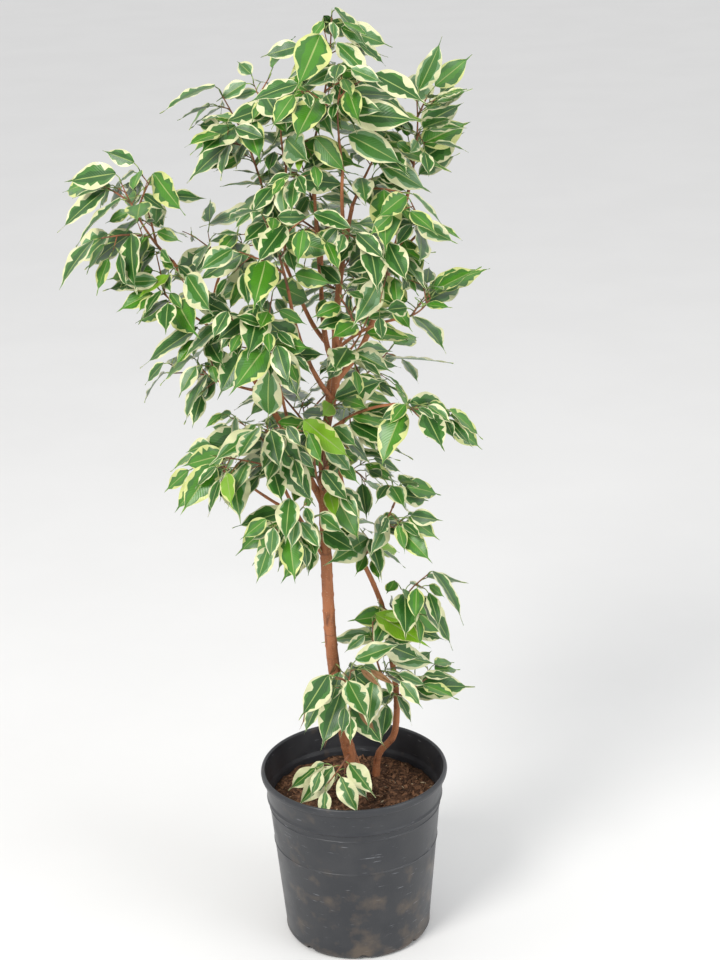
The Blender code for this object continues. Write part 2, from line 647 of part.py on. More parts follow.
def turned(outline, segments):
    """Points and faces of an outline turned about the Z axis, its ends on the axis."""
    points = [Vector((0.0, 0.0, outline[0][1])), Vector((0.0, 0.0, outline[-1][1]))]
    rings = outline[1:-1]
    for radius, height in rings:
        for segment in range(segments):
            angle = math.tau * segment / segments
            points.append(Vector((radius * math.cos(angle), radius * math.sin(angle), height)))
    faces = []
    for segment in range(segments):
        after = (segment + 1) % segments
        faces.append((0, 2 + after, 2 + segment))
        for ring in range(len(rings) - 1):
            low = 2 + ring * segments
            high = low + segments
            faces.append((low + segment, low + after, high + after, high + segment))
        last = 2 + (len(rings) - 1) * segments
        faces.append((1, last + segment, last + after))
    return points, faces


def apply_modifiers(thing):
    """Turns what the modifiers make into the object's own mesh."""
    graph = bpy.context.evaluated_depsgraph_get()
    made = bpy.data.meshes.new_from_object(thing.evaluated_get(graph))
    old = thing.data
    thing.modifiers.clear()
    thing.data = made
    bpy.data.meshes.remove(old)
    made.name = thing.name


def cut(thing, cutter):
    """Takes the cutter's shape out of the thing and removes the cutter."""
    cutter.hide_render = True
    cutter.display_type = "WIRE"
    modifier = thing.modifiers.new("Cut", "BOOLEAN")
    modifier.operation = "DIFFERENCE"
    modifier.solver = "EXACT"
    modifier.object = cutter
    apply_modifiers(thing)
    bpy.data.objects.remove(cutter, do_unlink=True)


def keep_largest_shell(thing):
    """Drops loose scraps and the inner skins of sealed hollows, so one closed body is left."""
    shape = bmesh.new()
    shape.from_mesh(thing.data)
    unseen = set(shape.faces)
    shells = []
    while unseen:
        start = unseen.pop()
        shell = [start]
        for face in shell:
            for edge in face.edges:
                for near in edge.link_faces:
                    if near in unseen:
                        unseen.discard(near)
                        shell.append(near)
        shells.append(shell)
    shells.sort(key=len)
    scraps = [face for shell in shells[:-1] for face in shell]
    bmesh.ops.delete(shape, geom=scraps, context="FACES")
    bmesh.ops.triangulate(shape, faces=shape.faces)
    turn_shared_diagonals(shape)
    shape.to_mesh(thing.data)
    shape.free()


def turn_shared_diagonals(shape):
    """Turns each diagonal that lies along another edge, so that every edge has two faces."""
    for edge in [edge for edge in shape.edges if len(edge.link_faces) > 2]:
        pairs = [
            (first.normal.dot(second.normal), index, later)
            for index, first in enumerate(edge.link_faces)
            for later, second in enumerate(edge.link_faces)
            if index < later
        ]
        flat, index, later = max(pairs)
        faces = [edge.link_faces[index], edge.link_faces[later]]
        start, end = edge.verts
        far = [next(vert for vert in face.verts if vert not in (start, end)) for face in faces]
        loop = next(loop for loop in faces[0].loops if loop.vert not in (start, end))
        start, end = loop.link_loop_next.vert, loop.link_loop_prev.vert
        slot = faces[0].material_index
        for face in faces:
            shape.faces.remove(face)
        for corners in ((far[0], start, far[1]), (far[1], end, far[0])):
            shape.faces.new(corners).material_index = slot
    shape.normal_update()


def fuse(name, shapes, finishes):
    """One body of many overlapping closed shapes, each with its own finish."""
    core = solid(name, *shapes[0], finishes[0])
    group = bpy.data.collections.new(name + "_pieces")
    bpy.context.scene.collection.children.link(group)
    for index, (shape, finish) in enumerate(zip(shapes[1:], finishes[1:])):
        piece = solid(f"{name}_{index}", *shape, finish)
        bpy.context.scene.collection.objects.unlink(piece)
        group.objects.link(piece)
    modifier = core.modifiers.new("Join", "BOOLEAN")
    modifier.operation = "UNION"
    modifier.operand_type = "COLLECTION"
    modifier.collection = group
    modifier.solver = "MANIFOLD"
    modifier.material_mode = "TRANSFER"
    apply_modifiers(core)
    for piece in list(group.objects):
        bpy.data.objects.remove(piece, do_unlink=True)
    bpy.data.collections.remove(group)
    keep_largest_shell(core)
    return core


def make_pot():
    pot = solid("pot", *turned(pot_profile(), POT_SEGMENTS), pot_finish(), smooth=True)
    for index in range(NOTCH_COUNT):
        angle = math.tau * index / NOTCH_COUNT + NOTCH_TURN
        radius = NOTCH_WIDTH / 2
        middle = Vector((0.0, 0.0, NOTCH_HEIGHT - radius))
        reach = Vector((math.cos(angle), math.sin(angle), 0.0))
        path = [middle + reach * (CHANNEL_OUTER_RADIUS - 0.003), middle + reach * LIP_RADIUS]
        cut(pot, solid("notch", *tube(path, [radius, radius], NOTCH_SIDES)))
    return pot


def make_soil():
    return solid("soil", *turned(soil_profile(), POT_SEGMENTS), soil_finish(), smooth=True)


def make_limbs(limbs, bark):
    """The stems and boughs, each bough cut back to stand just clear of its parent."""
    made = {}
    for limb in limbs.values():
        made[limb.name] = solid(limb.name, *limb.shape, bark, smooth=True)
    for bough in BOUGHS:
        parent = limbs[bough.parent]
        wider = [radius + GAP for radius in parent.radii]
        cut(made[bough.name], solid("clearance", *tube(parent.path, wider, parent.sides)))
    return made


def make_mass(mass, twigs, leaves, bark, green):
    shapes = []
    finishes = []
    for path, radii, start_direction in twigs:
        shapes.append(tube(path, radii, TWIG_SIDES, start_direction))
        finishes.append(bark)
    for leaf in leaves:
        shapes.append(leaf_solid(leaf))
        finishes.append(green)
    return fuse(mass.name, shapes, finishes)


def pot_finish():
    return material("black pot plastic", (0.020, 0.021, 0.025), 0.45)


def soil_finish():
    return material("potting soil", (0.150, 0.075, 0.040), 0.95)


def bark_finish():
    return material("orange brown bark", (0.330, 0.120, 0.050), 0.75)


def leaf_finish():
    return material("fig leaf green", (0.050, 0.170, 0.020), 0.40)


def surroundings(limbs):
    """The bodies that foliage keeps clear of before any of it has grown."""
    bodies = [limb.body for limb in limbs.values()]
    bodies.append(body(*turned(pot_profile(), POT_SEGMENTS)))
    bodies.append(body(*turned(soil_profile(), POT_SEGMENTS)))
    return bodies


def main():
    remove_everything()
    limbs = grow_limbs()
    make_pot()
    make_soil()
    bark = bark_finish()
    green = leaf_finish()
    make_limbs(limbs, bark)
    others = surroundings(limbs)
    for mass in MASSES:
        twigs, leaves = grow_mass(mass, limbs, others)
        for path, radii, start_direction in twigs:
            others.append(body(*tube(path, radii, TWIG_SIDES, start_direction)))
        for leaf in leaves:
            others.append(body(*leaf_solid(leaf)))
        make_mass(mass, twigs, leaves, bark, green)


if __name__ == "__main__":
    main()
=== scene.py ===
"""Weeping fig with cream-edged leaves in a black nursery pot: its looks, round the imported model.

Laid out as a Blender add-on and run as a script. The stems, boughs and foliage grow by the rule of
the part's source, from the same named sizes and seeds, and are carried on to finer twigs here.
"""

import json
import math
import random
from collections import defaultdict
from functools import cache
from typing import NamedTuple

import bmesh
import bpy
from bpy.props import FloatProperty, FloatVectorProperty, IntProperty, PointerProperty
from mathutils import Matrix, Quaternion, Vector, noise
from mathutils.bvhtree import BVHTree

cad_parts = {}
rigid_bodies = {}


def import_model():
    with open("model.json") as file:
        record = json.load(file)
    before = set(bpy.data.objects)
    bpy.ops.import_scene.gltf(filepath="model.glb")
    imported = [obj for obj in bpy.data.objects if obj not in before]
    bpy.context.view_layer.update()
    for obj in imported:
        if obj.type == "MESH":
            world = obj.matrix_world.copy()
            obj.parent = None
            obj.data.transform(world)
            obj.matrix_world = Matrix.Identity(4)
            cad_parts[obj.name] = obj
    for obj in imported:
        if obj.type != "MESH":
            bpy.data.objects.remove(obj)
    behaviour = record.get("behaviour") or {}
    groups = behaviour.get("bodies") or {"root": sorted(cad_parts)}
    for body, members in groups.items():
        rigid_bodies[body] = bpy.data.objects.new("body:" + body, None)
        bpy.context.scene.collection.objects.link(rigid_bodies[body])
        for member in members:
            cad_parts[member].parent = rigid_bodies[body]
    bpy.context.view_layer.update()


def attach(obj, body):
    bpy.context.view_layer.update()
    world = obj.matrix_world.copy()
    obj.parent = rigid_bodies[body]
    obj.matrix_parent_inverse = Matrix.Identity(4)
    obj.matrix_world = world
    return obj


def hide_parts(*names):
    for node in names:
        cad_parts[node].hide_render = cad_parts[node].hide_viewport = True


bl_info = {
    "name": "Potted weeping fig",
    "version": (1, 0, 0),
    "blender": (4, 5, 0),
    "location": "3D View > Sidebar > Fig",
    "description": "Builds the looks of a potted weeping fig round its packed model",
    "category": "Add Mesh",
}

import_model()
BODY = "root"

# Pot
POT_HEIGHT = 0.247
LIP_RADIUS = 0.127
LIP_HEIGHT = 0.010
WALL_TOP_RADIUS = 0.1211
WALL_SLOPE = 0.0895
WALL = 0.0024
COLLAR_STEP = 0.0016
COLLAR_DEPTH = 0.045
RIB_DEPTHS = (0.053, 0.106)
RIB_HEIGHT = 0.0012
BASE_LINE_DEPTH = 0.2346
FOOT_RADIUS = 0.0935
FLOOR_PAD_RADIUS = 0.062
CHANNEL_OUTER_RADIUS = 0.086
CHANNEL_HEIGHT = 0.009
NOTCH_COUNT = 8
NOTCH_WIDTH = 0.017
NOTCH_HEIGHT = 0.0085
NOTCH_SIDES = 8
NOTCH_TURN = math.radians(3)
POT_SEGMENTS = 28

# Soil
SOIL_HEIGHT = 0.207
SOIL_FLAT_RADIUS = 0.060
SOIL_EDGE_HEIGHT = 0.199

# Clearance between neighbouring solids
GAP = 0.0003
LEAF_GAP = 0.0007

# Trunk: right, back, height of the stations of its centre line, and its radii
TRUNK_BASE = (0.009, 0.024)
TRUNK_STATIONS = (
    (-0.006, 0.020, 0.255),
    (-0.016, 0.015, 0.325),
    (-0.025, 0.010, 0.415),
    (-0.028, 0.004, 0.520),
    (-0.028, 0.000, 0.662),
    (-0.023, 0.000, 0.733),
    (-0.009, 0.000, 0.791),
    (-0.007, 0.000, 0.863),
    (0.001, 0.000, 0.931),
    (0.010, 0.000, 0.983),
    (0.019, 0.000, 1.024),
)
TRUNK_FOOT_RADIUS = 0.0085
TRUNK_TIP_RADIUS = 0.0024
TRUNK_FLARE = 0.30
TRUNK_FLARE_HEIGHT = 0.022
TRUNK_SIDES = 10
TRUNK_RINGS = 22

# Second stem
SECOND_BASE = (0.030, 0.038)
SECOND_STATIONS = (
    (0.036, 0.040, 0.243),
    (0.056, 0.040, 0.269),
    (0.061, 0.040, 0.322),
    (0.055, 0.040, 0.390),
    (0.043, 0.040, 0.468),
    (0.020, 0.042, 0.529),
    (0.004, 0.045, 0.585),
    (-0.007, 0.055, 0.655),
)
SECOND_FOOT_RADIUS = 0.0050
SECOND_TIP_RADIUS = 0.0024
SECOND_SIDES = 6
SECOND_RINGS = 15

BOUGH_SIDES = 5
BOUGH_RINGS = 6

# Twigs: the stem of a mass and its side shoots
TWIG_SIDES = 3
TWIG_RADIUS = 0.0024
TWIG_TIP_RADIUS = 0.0015
TWIG_SWELL = 1.25
SHOOT_SHARE = 0.75
STEM_STEPS = 4
SHOOT_STEPS = 2
FIRST_SHOOT = 0.10
SHOOT_REACH = 0.78
SHOOT_JITTER = (0.2, 0.8)
SHOOT_FORWARD = 0.6
SHOOT_ASIDE = 0.8
SHOOT_LIFT = (0.0, 0.35)
SHOOT_VARIETY = (0.75, 1.2)
SHOOT_TAPER = (1.1, 0.4)
SHOOT_SAG = (0.05, 0.30)
TURN = math.radians(137.5)

# Leaves: blade, petiole, and how each one stands on its twig
LEAF_LENGTH = (0.056, 0.090)
LEAF_WIDTH = 0.48
LEAF_FOLD = 0.06
LEAF_ARCH = 0.16
LEAF_SHOULDERS = ((0.28, 0.93, 1.0), (0.66, 0.84, 0.6))
PETIOLE_LENGTH = (0.010, 0.017)
PETIOLE_RADIUS = 0.0011
PETIOLE_TOP = 0.0007
PETIOLE_ROOT = 0.45
LEAF_SPACING = 0.0265
FIRST_LEAF = 0.45
LAST_LEAF = 0.985
LEAF_TRIES = 6
LATE_TRY_SIZE = 0.85
STEEP_TWIG = 0.35
LEAF_SWING = 0.6
LEAF_ROLL = 0.6
LEAF_HANG = (0.5, 1.4)
WIDTH_VARIETY = (0.88, 1.10)
ARCH_VARIETY = (0.2, 1.3)
STALK_FORWARD = 0.5
STALK_ASIDE = 0.9
STALK_OUT = 0.2
STALK_UP = 0.15
TIP_STALK_ASIDE = 0.3
LIGHT_UP = 0.75
LIGHT_OUT = 0.40
LIGHT_FRONT = 0.50

UP = Vector((0.0, 0.0, 1.0))
FRONT = Vector((0.0, -1.0, 0.0))


class Bough(NamedTuple):
    """A tapering limb: where it leaves its parent, its tip, how far its middle bows, its radii."""

    name: str
    parent: str
    at: float
    tip: tuple
    bow: tuple
    radius: float
    tip_radius: float


class Mass(NamedTuple):
    """A mass of foliage: its stem, the side shoots on it, how its leaves hang, and its seed."""

    name: str
    parent: str
    at: float
    tip: tuple
    bow: tuple
    shoots: int
    shoot_length: float
    spread: float
    droop: float
    seed: int


BOUGHS = (
    Bough("left_bough", "trunk", 0.51, (-0.205, -0.02, 0.964), (0.03, 0.0, -0.015), 0.0046, 0.0023),
    Bough("back_left_bough", "trunk", 0.74, (-0.021, 0.05, 0.959), (-0.015, 0.02, -0.045), 0.0039, 0.0023),
    Bough("mid_left_bough", "trunk", 0.69, (-0.063, -0.05, 0.931), (-0.015, -0.02, -0.01), 0.0034, 0.002),
    Bough("far_left_bough", "back_left_bough", 0.23, (-0.085, 0.03, 0.993),
          (0.015, 0.045, -0.08), 0.003, 0.0018),
    Bough("right_bough", "trunk", 0.72, (0.089, 0.03, 1.032), (0.0, 0.03, -0.1), 0.0043, 0.0021),
    Bough("right_twig", "trunk", 0.77, (0.074, -0.08, 0.9), (-0.005, -0.02, 0.02), 0.0023, 0.0016),
    Bough("right_low_bough", "trunk", 0.63, (0.064, -0.07, 0.787), (-0.01, -0.01, 0.02), 0.0026, 0.0016),
    Bough("low_left_bough", "trunk", 0.42, (-0.079, -0.05, 0.675), (-0.005, 0.005, -0.005), 0.0034, 0.002),
    Bough("upper_bough", "trunk", 0.94, (0.008, -0.04, 1.078), (-0.005, -0.02, 0.005), 0.0028, 0.0018),
    Bough("top_bough", "back_left_bough", 0.69, (-0.026, 0.0, 1.104),
          (-0.005, -0.025, -0.01), 0.0025, 0.0016),
    Bough("high_left_bough", "far_left_bough", 0.67, (-0.061, 0.01, 1.072),
          (-0.005, -0.015, -0.005), 0.0021, 0.0015),
    Bough("left_side_bough", "left_bough", 0.6, (-0.177, -0.05, 0.899), (0.0, -0.01, 0.015), 0.0021, 0.0015),
    Bough("left_rise_bough", "left_bough", 0.76, (-0.146, 0.0, 0.943), (-0.01, 0.015, 0.0), 0.0021, 0.0015),
    Bough("left_low_bough", "left_bough", 0.47, (-0.139, -0.06, 0.816), (0.0, -0.02, 0.005), 0.0021, 0.0015),
    Bough("inner_left_bough", "left_bough", 0.23, (-0.081, -0.07, 0.833),
          (0.0, -0.005, -0.005), 0.0025, 0.0016),
    Bough("right_side_bough", "right_bough", 0.65, (0.095, -0.02, 0.986),
          (0.005, -0.015, 0.01), 0.002, 0.0015),
    Bough("low_left_out_bough", "low_left_bough", 0.61, (-0.133, -0.06, 0.691),
          (0.0, 0.01, -0.01), 0.0023, 0.0015),
    Bough("right_inner_bough", "right_bough", 0.5, (0.06, -0.02, 0.937), (0.0, -0.015, 0.0), 0.002, 0.0015),
    Bough("back_left_low_bough", "left_bough", 0.19, (-0.079, 0.05, 0.692),
          (-0.005, 0.015, -0.005), 0.0021, 0.0015),
    Bough("back_bough", "trunk", 0.67, (0.005, 0.12, 0.827), (-0.02, 0.0, -0.025), 0.0033, 0.002),
)

MASSES = (
    Mass("left_end_foliage", "left_bough", 1.0, (-0.26, -0.03, 1.065),
         (0.0, -0.01, -0.02), 4, 0.085, 0.15, 0.9, 537),
    Mass("upper_left_foliage", "far_left_bough", 1.0, (-0.135, -0.01, 1.165),
         (0.02, -0.02, 0.005), 4, 0.086, 0.125, 0.85, 436),
    Mass("top_foliage", "top_bough", 1.0, (0.0, -0.02, 1.255), (0.01, 0.0, 0.0), 4, 0.049, 0.12, 1.0, 405),
    Mass("top_right_foliage", "right_bough", 1.0, (0.1, 0.01, 1.15),
         (0.01, 0.0, 0.01), 3, 0.044, 0.135, 0.1, 322),
    Mass("high_left_foliage", "high_left_bough", 1.0, (-0.06, -0.017, 1.168),
         (-0.01, -0.017, -0.006), 2, 0.069, 0.115, 0.9, 204),
    Mass("upper_foliage", "upper_bough", 1.0, (0.01, -0.058, 1.186),
         (-0.011, -0.03, 0.031), 4, 0.053, 0.115, 0.75, 403),
    Mass("leader_foliage", "trunk", 1.0, (0.06, -0.02, 1.11),
         (-0.005, 0.0, -0.005), 2, 0.056, 0.12, 0.8, 425),
    Mass("back_left_foliage", "back_left_bough", 1.0, (-0.045, 0.08, 1.065),
         (0.005, -0.01, -0.005), 4, 0.06, 0.115, 0.95, 352),
    Mass("mid_left_foliage", "mid_left_bough", 1.0, (-0.09, -0.07, 1.03),
         (0.005, 0.0, 0.005), 3, 0.092, 0.115, 1.1, 137),
    Mass("left_rise_foliage", "left_rise_bough", 1.0, (-0.125, 0.0, 0.99),
         (-0.005, 0.0, -0.005), 3, 0.061, 0.11, 0.9, 284),
    Mass("left_side_foliage", "left_side_bough", 1.0, (-0.22, -0.06, 0.94),
         (0.005, 0.01, -0.015), 3, 0.07, 0.12, 0.85, 417),
    Mass("left_low_foliage", "left_low_bough", 1.0, (-0.175, -0.06, 0.84),
         (-0.005, 0.0, -0.01), 2, 0.07, 0.12, 1.15, 303),
    Mass("inner_left_foliage", "inner_left_bough", 1.0, (-0.1, -0.09, 0.91),
         (0.0, 0.0, 0.0), 4, 0.075, 0.115, 1.05, 70),
    Mass("right_side_foliage", "right_side_bough", 1.0, (0.11, -0.03, 1.005),
         (0.005, 0.01, -0.01), 1, 0.069, 0.11, 0.65, 284),
    Mass("right_twig_foliage", "right_twig", 1.0, (0.11, -0.08, 0.925),
         (0.005, 0.0, -0.01), 2, 0.038, 0.11, 0.3, 383),
    Mass("right_low_foliage", "right_low_bough", 1.0, (0.12, -0.08, 0.78),
         (0.015, -0.01, -0.005), 2, 0.045, 0.11, 0.8, 468),
    Mass("right_inner_foliage", "right_inner_bough", 1.0, (0.06, -0.055, 0.98),
         (0.005, -0.005, 0.0), 4, 0.07, 0.11, 1.0, 388),
    Mass("right_mid_foliage", "trunk", 0.76, (0.035, -0.09, 0.91),
         (0.0, -0.03, -0.015), 2, 0.061, 0.11, 0.5, 482),
    Mass("low_left_foliage", "low_left_bough", 1.0, (-0.095, -0.07, 0.765),
         (-0.01, 0.0, 0.0), 5, 0.081, 0.12, 1.05, 219),
    Mass("low_left_out_foliage", "low_left_out_bough", 1.0, (-0.165, -0.06, 0.7),
         (0.0, 0.0, 0.01), 2, 0.057, 0.115, 1.15, 550),
    Mass("low_left_hang_foliage", "trunk", 0.46, (-0.07, -0.09, 0.665),
         (-0.005, -0.03, 0.0), 3, 0.069, 0.11, 1.3, 25),
    Mass("front_low_foliage", "trunk", 0.54, (-0.035, -0.076, 0.757),
         (-0.011, -0.031, -0.007), 4, 0.081, 0.11, 1.15, 267),
    Mass("right_trunk_foliage", "trunk", 0.57, (0.002, -0.049, 0.758),
         (-0.023, -0.016, 0.017), 3, 0.081, 0.11, 0.8, 173),
    Mass("second_top_foliage", "second_stem", 1.0, (0.01, 0.056, 0.709),
         (0.007, 0.012, -0.05), 2, 0.08, 0.12, 0.95, 192),
    Mass("second_high_foliage", "second_stem", 0.73, (0.07, -0.02, 0.655),
         (0.01, -0.02, 0.015), 3, 0.038, 0.105, 0.8, 593),
    Mass("second_right_foliage", "second_stem", 0.43, (0.105, -0.02, 0.535),
         (-0.02, -0.02, 0.04), 2, 0.041, 0.105, 1.2, 185),
    Mass("second_mid_foliage", "second_stem", 0.3, (0.03, -0.02, 0.47),
         (-0.015, -0.02, -0.02), 2, 0.044, 0.105, 0.95, 59),
    Mass("far_right_foliage", "second_stem", 0.28, (0.107, 0.012, 0.372),
         (-0.016, -0.043, 0.008), 0, 0.034, 0.085, 0.6, 472),
    Mass("low_front_foliage", "trunk", 0.15, (0.0, -0.05, 0.415),
         (0.0, -0.045, 0.015), 3, 0.044, 0.1, 1.4, 223),
    Mass("foot_foliage", "trunk", 0.06, (-0.035, -0.075, 0.26),
         (0.005, -0.025, 0.02), 0, 0.034, 0.085, 1.1, 492),
    Mass("back_high_foliage", "trunk", 0.86, (-0.01, 0.13, 0.96),
         (0.0, 0.05, -0.05), 3, 0.068, 0.13, 0.5, 169),
    Mass("back_mid_foliage", "back_bough", 1.0, (0.02, 0.17, 0.895),
         (0.0, 0.01, -0.02), 4, 0.068, 0.13, 0.6, 195),
    Mass("back_right_foliage", "trunk", 0.7, (0.065, 0.12, 0.8),
         (0.005, 0.04, -0.025), 3, 0.092, 0.13, 0.75, 417),
    Mass("back_low_foliage", "trunk", 0.6, (-0.055, 0.12, 0.73),
         (-0.01, 0.04, -0.02), 5, 0.103, 0.13, 0.7, 545),
    Mass("back_left_low_foliage", "back_left_low_bough", 1.0, (-0.1, 0.085, 0.71),
         (0.0, -0.005, 0.0), 4, 0.07, 0.13, 0.7, 489),
)


def smooth_path(stations, count):
    """Points evenly spaced along a Catmull-Rom curve through the stations."""
    stations = [Vector(station) for station in stations]
    fine = []
    for index in range(len(stations) - 1):
        before = stations[max(index - 1, 0)]
        start, end = stations[index], stations[index + 1]
        after = stations[min(index + 2, len(stations) - 1)]
        for step in range(12):
            t = step / 12
            fine.append(
                0.5 * (2 * start + (end - before) * t
                       + (2 * before - 5 * start + 4 * end - after) * t * t
                       + (3 * start - before - 3 * end + after) * t ** 3)
            )
    fine.append(stations[-1])
    return evenly(fine, count)


def bowed_path(start, tip, bow, count):
    """Points evenly spaced along a curve whose middle is pulled aside by the bow."""
    start, tip = Vector(start), Vector(tip)
    control = (start + tip) / 2 + Vector(bow)
    fine = []
    for step in range(33):
        t = step / 32
        fine.append((1 - t) ** 2 * start + 2 * t * (1 - t) * control + t * t * tip)
    return evenly(fine, count)


def evenly(fine, count):
    """The same line with its points at equal steps of its length."""
    lengths = [0.0]
    for first, second in zip(fine, fine[1:]):
        lengths.append(lengths[-1] + (second - first).length)
    points = []
    index = 0
    for step in range(count):
        wanted = lengths[-1] * step / (count - 1)
        while index < len(fine) - 2 and lengths[index + 1] < wanted:
            index += 1
        run = lengths[index + 1] - lengths[index]
        share = (wanted - lengths[index]) / run if run else 0.0
        points.append(fine[index].lerp(fine[index + 1], min(max(share, 0.0), 1.0)))
    return points


def along(path, at):
    """The point and the direction at a share of a path's length."""
    place = at * (len(path) - 1)
    index = min(int(place), len(path) - 2)
    step = path[index + 1] - path[index]
    return path[index] + step * (place - index), step.normalized()


def tube(path, radii, sides, start_direction=None):
    """Points and faces of a closed tube with flat ends, its rings carried along without twist."""
    points = []
    first = start_direction or (path[1] - path[0]).normalized()
    reference = first.orthogonal().normalized()
    previous = first
    for index, centre in enumerate(path):
        if index == 0:
            heading = first
        elif index == len(path) - 1:
            heading = (path[-1] - path[-2]).normalized()
        else:
            heading = (path[index + 1] - path[index - 1]).normalized()
        reference = previous.rotation_difference(heading) @ reference
        reference = (reference - heading * reference.dot(heading)).normalized()
        across = heading.cross(reference)
        for side in range(sides):
            angle = math.tau * side / sides
            offset = reference * math.cos(angle) + across * math.sin(angle)
            points.append(centre + offset * radii[index])
        previous = heading
    faces = [tuple(range(sides))[::-1]]
    for ring in range(len(path) - 1):
        low = ring * sides
        for side in range(sides):
            after = (side + 1) % sides
            faces.append((low + side, low + after, low + sides + after, low + sides + side))
    last = (len(path) - 1) * sides
    faces.append(tuple(range(last, last + sides)))
    return points, faces


def path_length(path):
    return sum((after - before).length for before, after in zip(path, path[1:]))


def stepped(values, at):
    """The value at a share of the way through a row of values, in between two of them."""
    place = at * (len(values) - 1)
    index = min(int(place), len(values) - 2)
    share = place - index
    return values[index] * (1 - share) + values[index + 1] * share


class Limb:
    """A stem or bough: its centre line, its radii, and the body that others keep clear of."""

    def __init__(self, path, radii, sides, start_direction=None):
        self.path = path
        self.radii = radii
        self.body = body(*tube(path, radii, sides, start_direction))

    def radius_at(self, at):
        return stepped(self.radii, at)


class Leaf(NamedTuple):
    """A leaf: the root of its petiole, the base of its blade, its directions and its size."""

    root: Vector
    base: Vector
    heading: Vector
    face: Vector
    length: float
    width: float
    arch: float


def body(points, faces):
    """A shape to test others against: its box and its search tree."""
    low = Vector([min(point[axis] for point in points) for axis in range(3)])
    high = Vector([max(point[axis] for point in points) for axis in range(3)])
    return low, high, BVHTree.FromPolygons([tuple(point) for point in points], faces)


def meets(shape, others):
    """True where a body cuts into any of the others."""
    low, high, tree = shape
    for other_low, other_high, other_tree in others:
        if any(low[axis] > other_high[axis] or high[axis] < other_low[axis] for axis in range(3)):
            continue
        if tree.overlap(other_tree):
            return True
    return False


def turned_towards(leaf, direction):
    """The leaf's sideways and upward directions, tipped over so that they stand square to another."""
    tip_over = leaf.heading.rotation_difference(direction)
    return tip_over @ leaf.face.cross(leaf.heading), tip_over @ leaf.face


def stalk_ring(leaf, centre, direction, share=1.0, ease=0.0):
    """Three points round the petiole: left, right and below."""
    across, lift = turned_towards(leaf, direction)
    wide = PETIOLE_RADIUS * share + ease
    high = PETIOLE_TOP * share + ease
    return [centre - across * wide + lift * high, centre + across * wide + lift * high, centre - lift * wide]


def leaf_blade(leaf, ease=0.0):
    """Points of a blade: three at its base, two on each edge from base to tip, and its tip.

    The blade arches down towards its tip and folds up from its midrib. Ease makes it fatter.
    """
    across = leaf.face.cross(leaf.heading)
    stalk = (leaf.base - leaf.root).normalized()
    points = stalk_ring(leaf, leaf.base, (stalk + leaf.heading).normalized(), ease=ease)
    for forward, share, rise in LEAF_SHOULDERS:
        middle = leaf.base + leaf.heading * (leaf.length * forward)
        lift = leaf.face * (LEAF_FOLD * leaf.width * rise - leaf.arch * leaf.length * forward ** 2)
        half = across * (leaf.width / 2 * share + ease)
        points += [middle + lift - half, middle + lift + half]
    points.append(leaf.base + leaf.heading * (leaf.length + ease) - leaf.face * (leaf.arch * leaf.length))
    return points


BLADE_FACES = (
    (0, 3, 5), (0, 5, 7), (0, 7, 1), (1, 7, 6), (1, 6, 4),
    (3, 0, 2), (5, 3, 2), (7, 5, 2), (6, 7, 2), (4, 6, 2), (1, 4, 2),
)
BLADE_TIP = 7


def blade_body(leaf):
    """The blade alone, a little fatter than life, for the test against its neighbours."""
    return body(leaf_blade(leaf, LEAF_GAP), [*BLADE_FACES, (0, 1, 2)])


def leaf_solid(leaf):
    """Points and faces of one closed leaf with its petiole, three-sided."""
    blade = leaf_blade(leaf)
    foot = len(blade)
    points = blade + stalk_ring(leaf, leaf.root, (leaf.base - leaf.root).normalized(), PETIOLE_ROOT)
    faces = [*BLADE_FACES, (foot, foot + 1, foot + 2)]
    for first, second in ((2, 0), (1, 2), (0, 1)):
        faces.append((first, second, second + foot, first + foot))
    return points, faces


def grow_twig(mass, start, heading, length, rng):
    """A side shoot: it sets off along the heading and bends down under its leaves."""
    sag = length * rng.uniform(*SHOOT_SAG) * mass.droop
    tip = start + heading * length - UP * sag
    return bowed_path(start, tip, UP * (sag / 2), SHOOT_STEPS + 1)


def twig_radii(thick, count):
    """Radii of a twig that tapers evenly to its tip."""
    return [thick + (TWIG_TIP_RADIUS - thick) * index / (count - 1) for index in range(count)]


def within(mass, stem, point):
    """True where the point lies in the mass's own space, round its stem."""
    return min((point - place).length for place in stem) < mass.spread


def leaf_side(forward, turn):
    """The level direction in which a leaf leaves its twig, to one side and the other in turn."""
    level = forward.cross(UP)
    if level.length < STEEP_TWIG:
        level = Vector((math.cos(turn), math.sin(turn), 0.0))
    return level.normalized() * (1 if math.sin(turn) > 0 else -1)


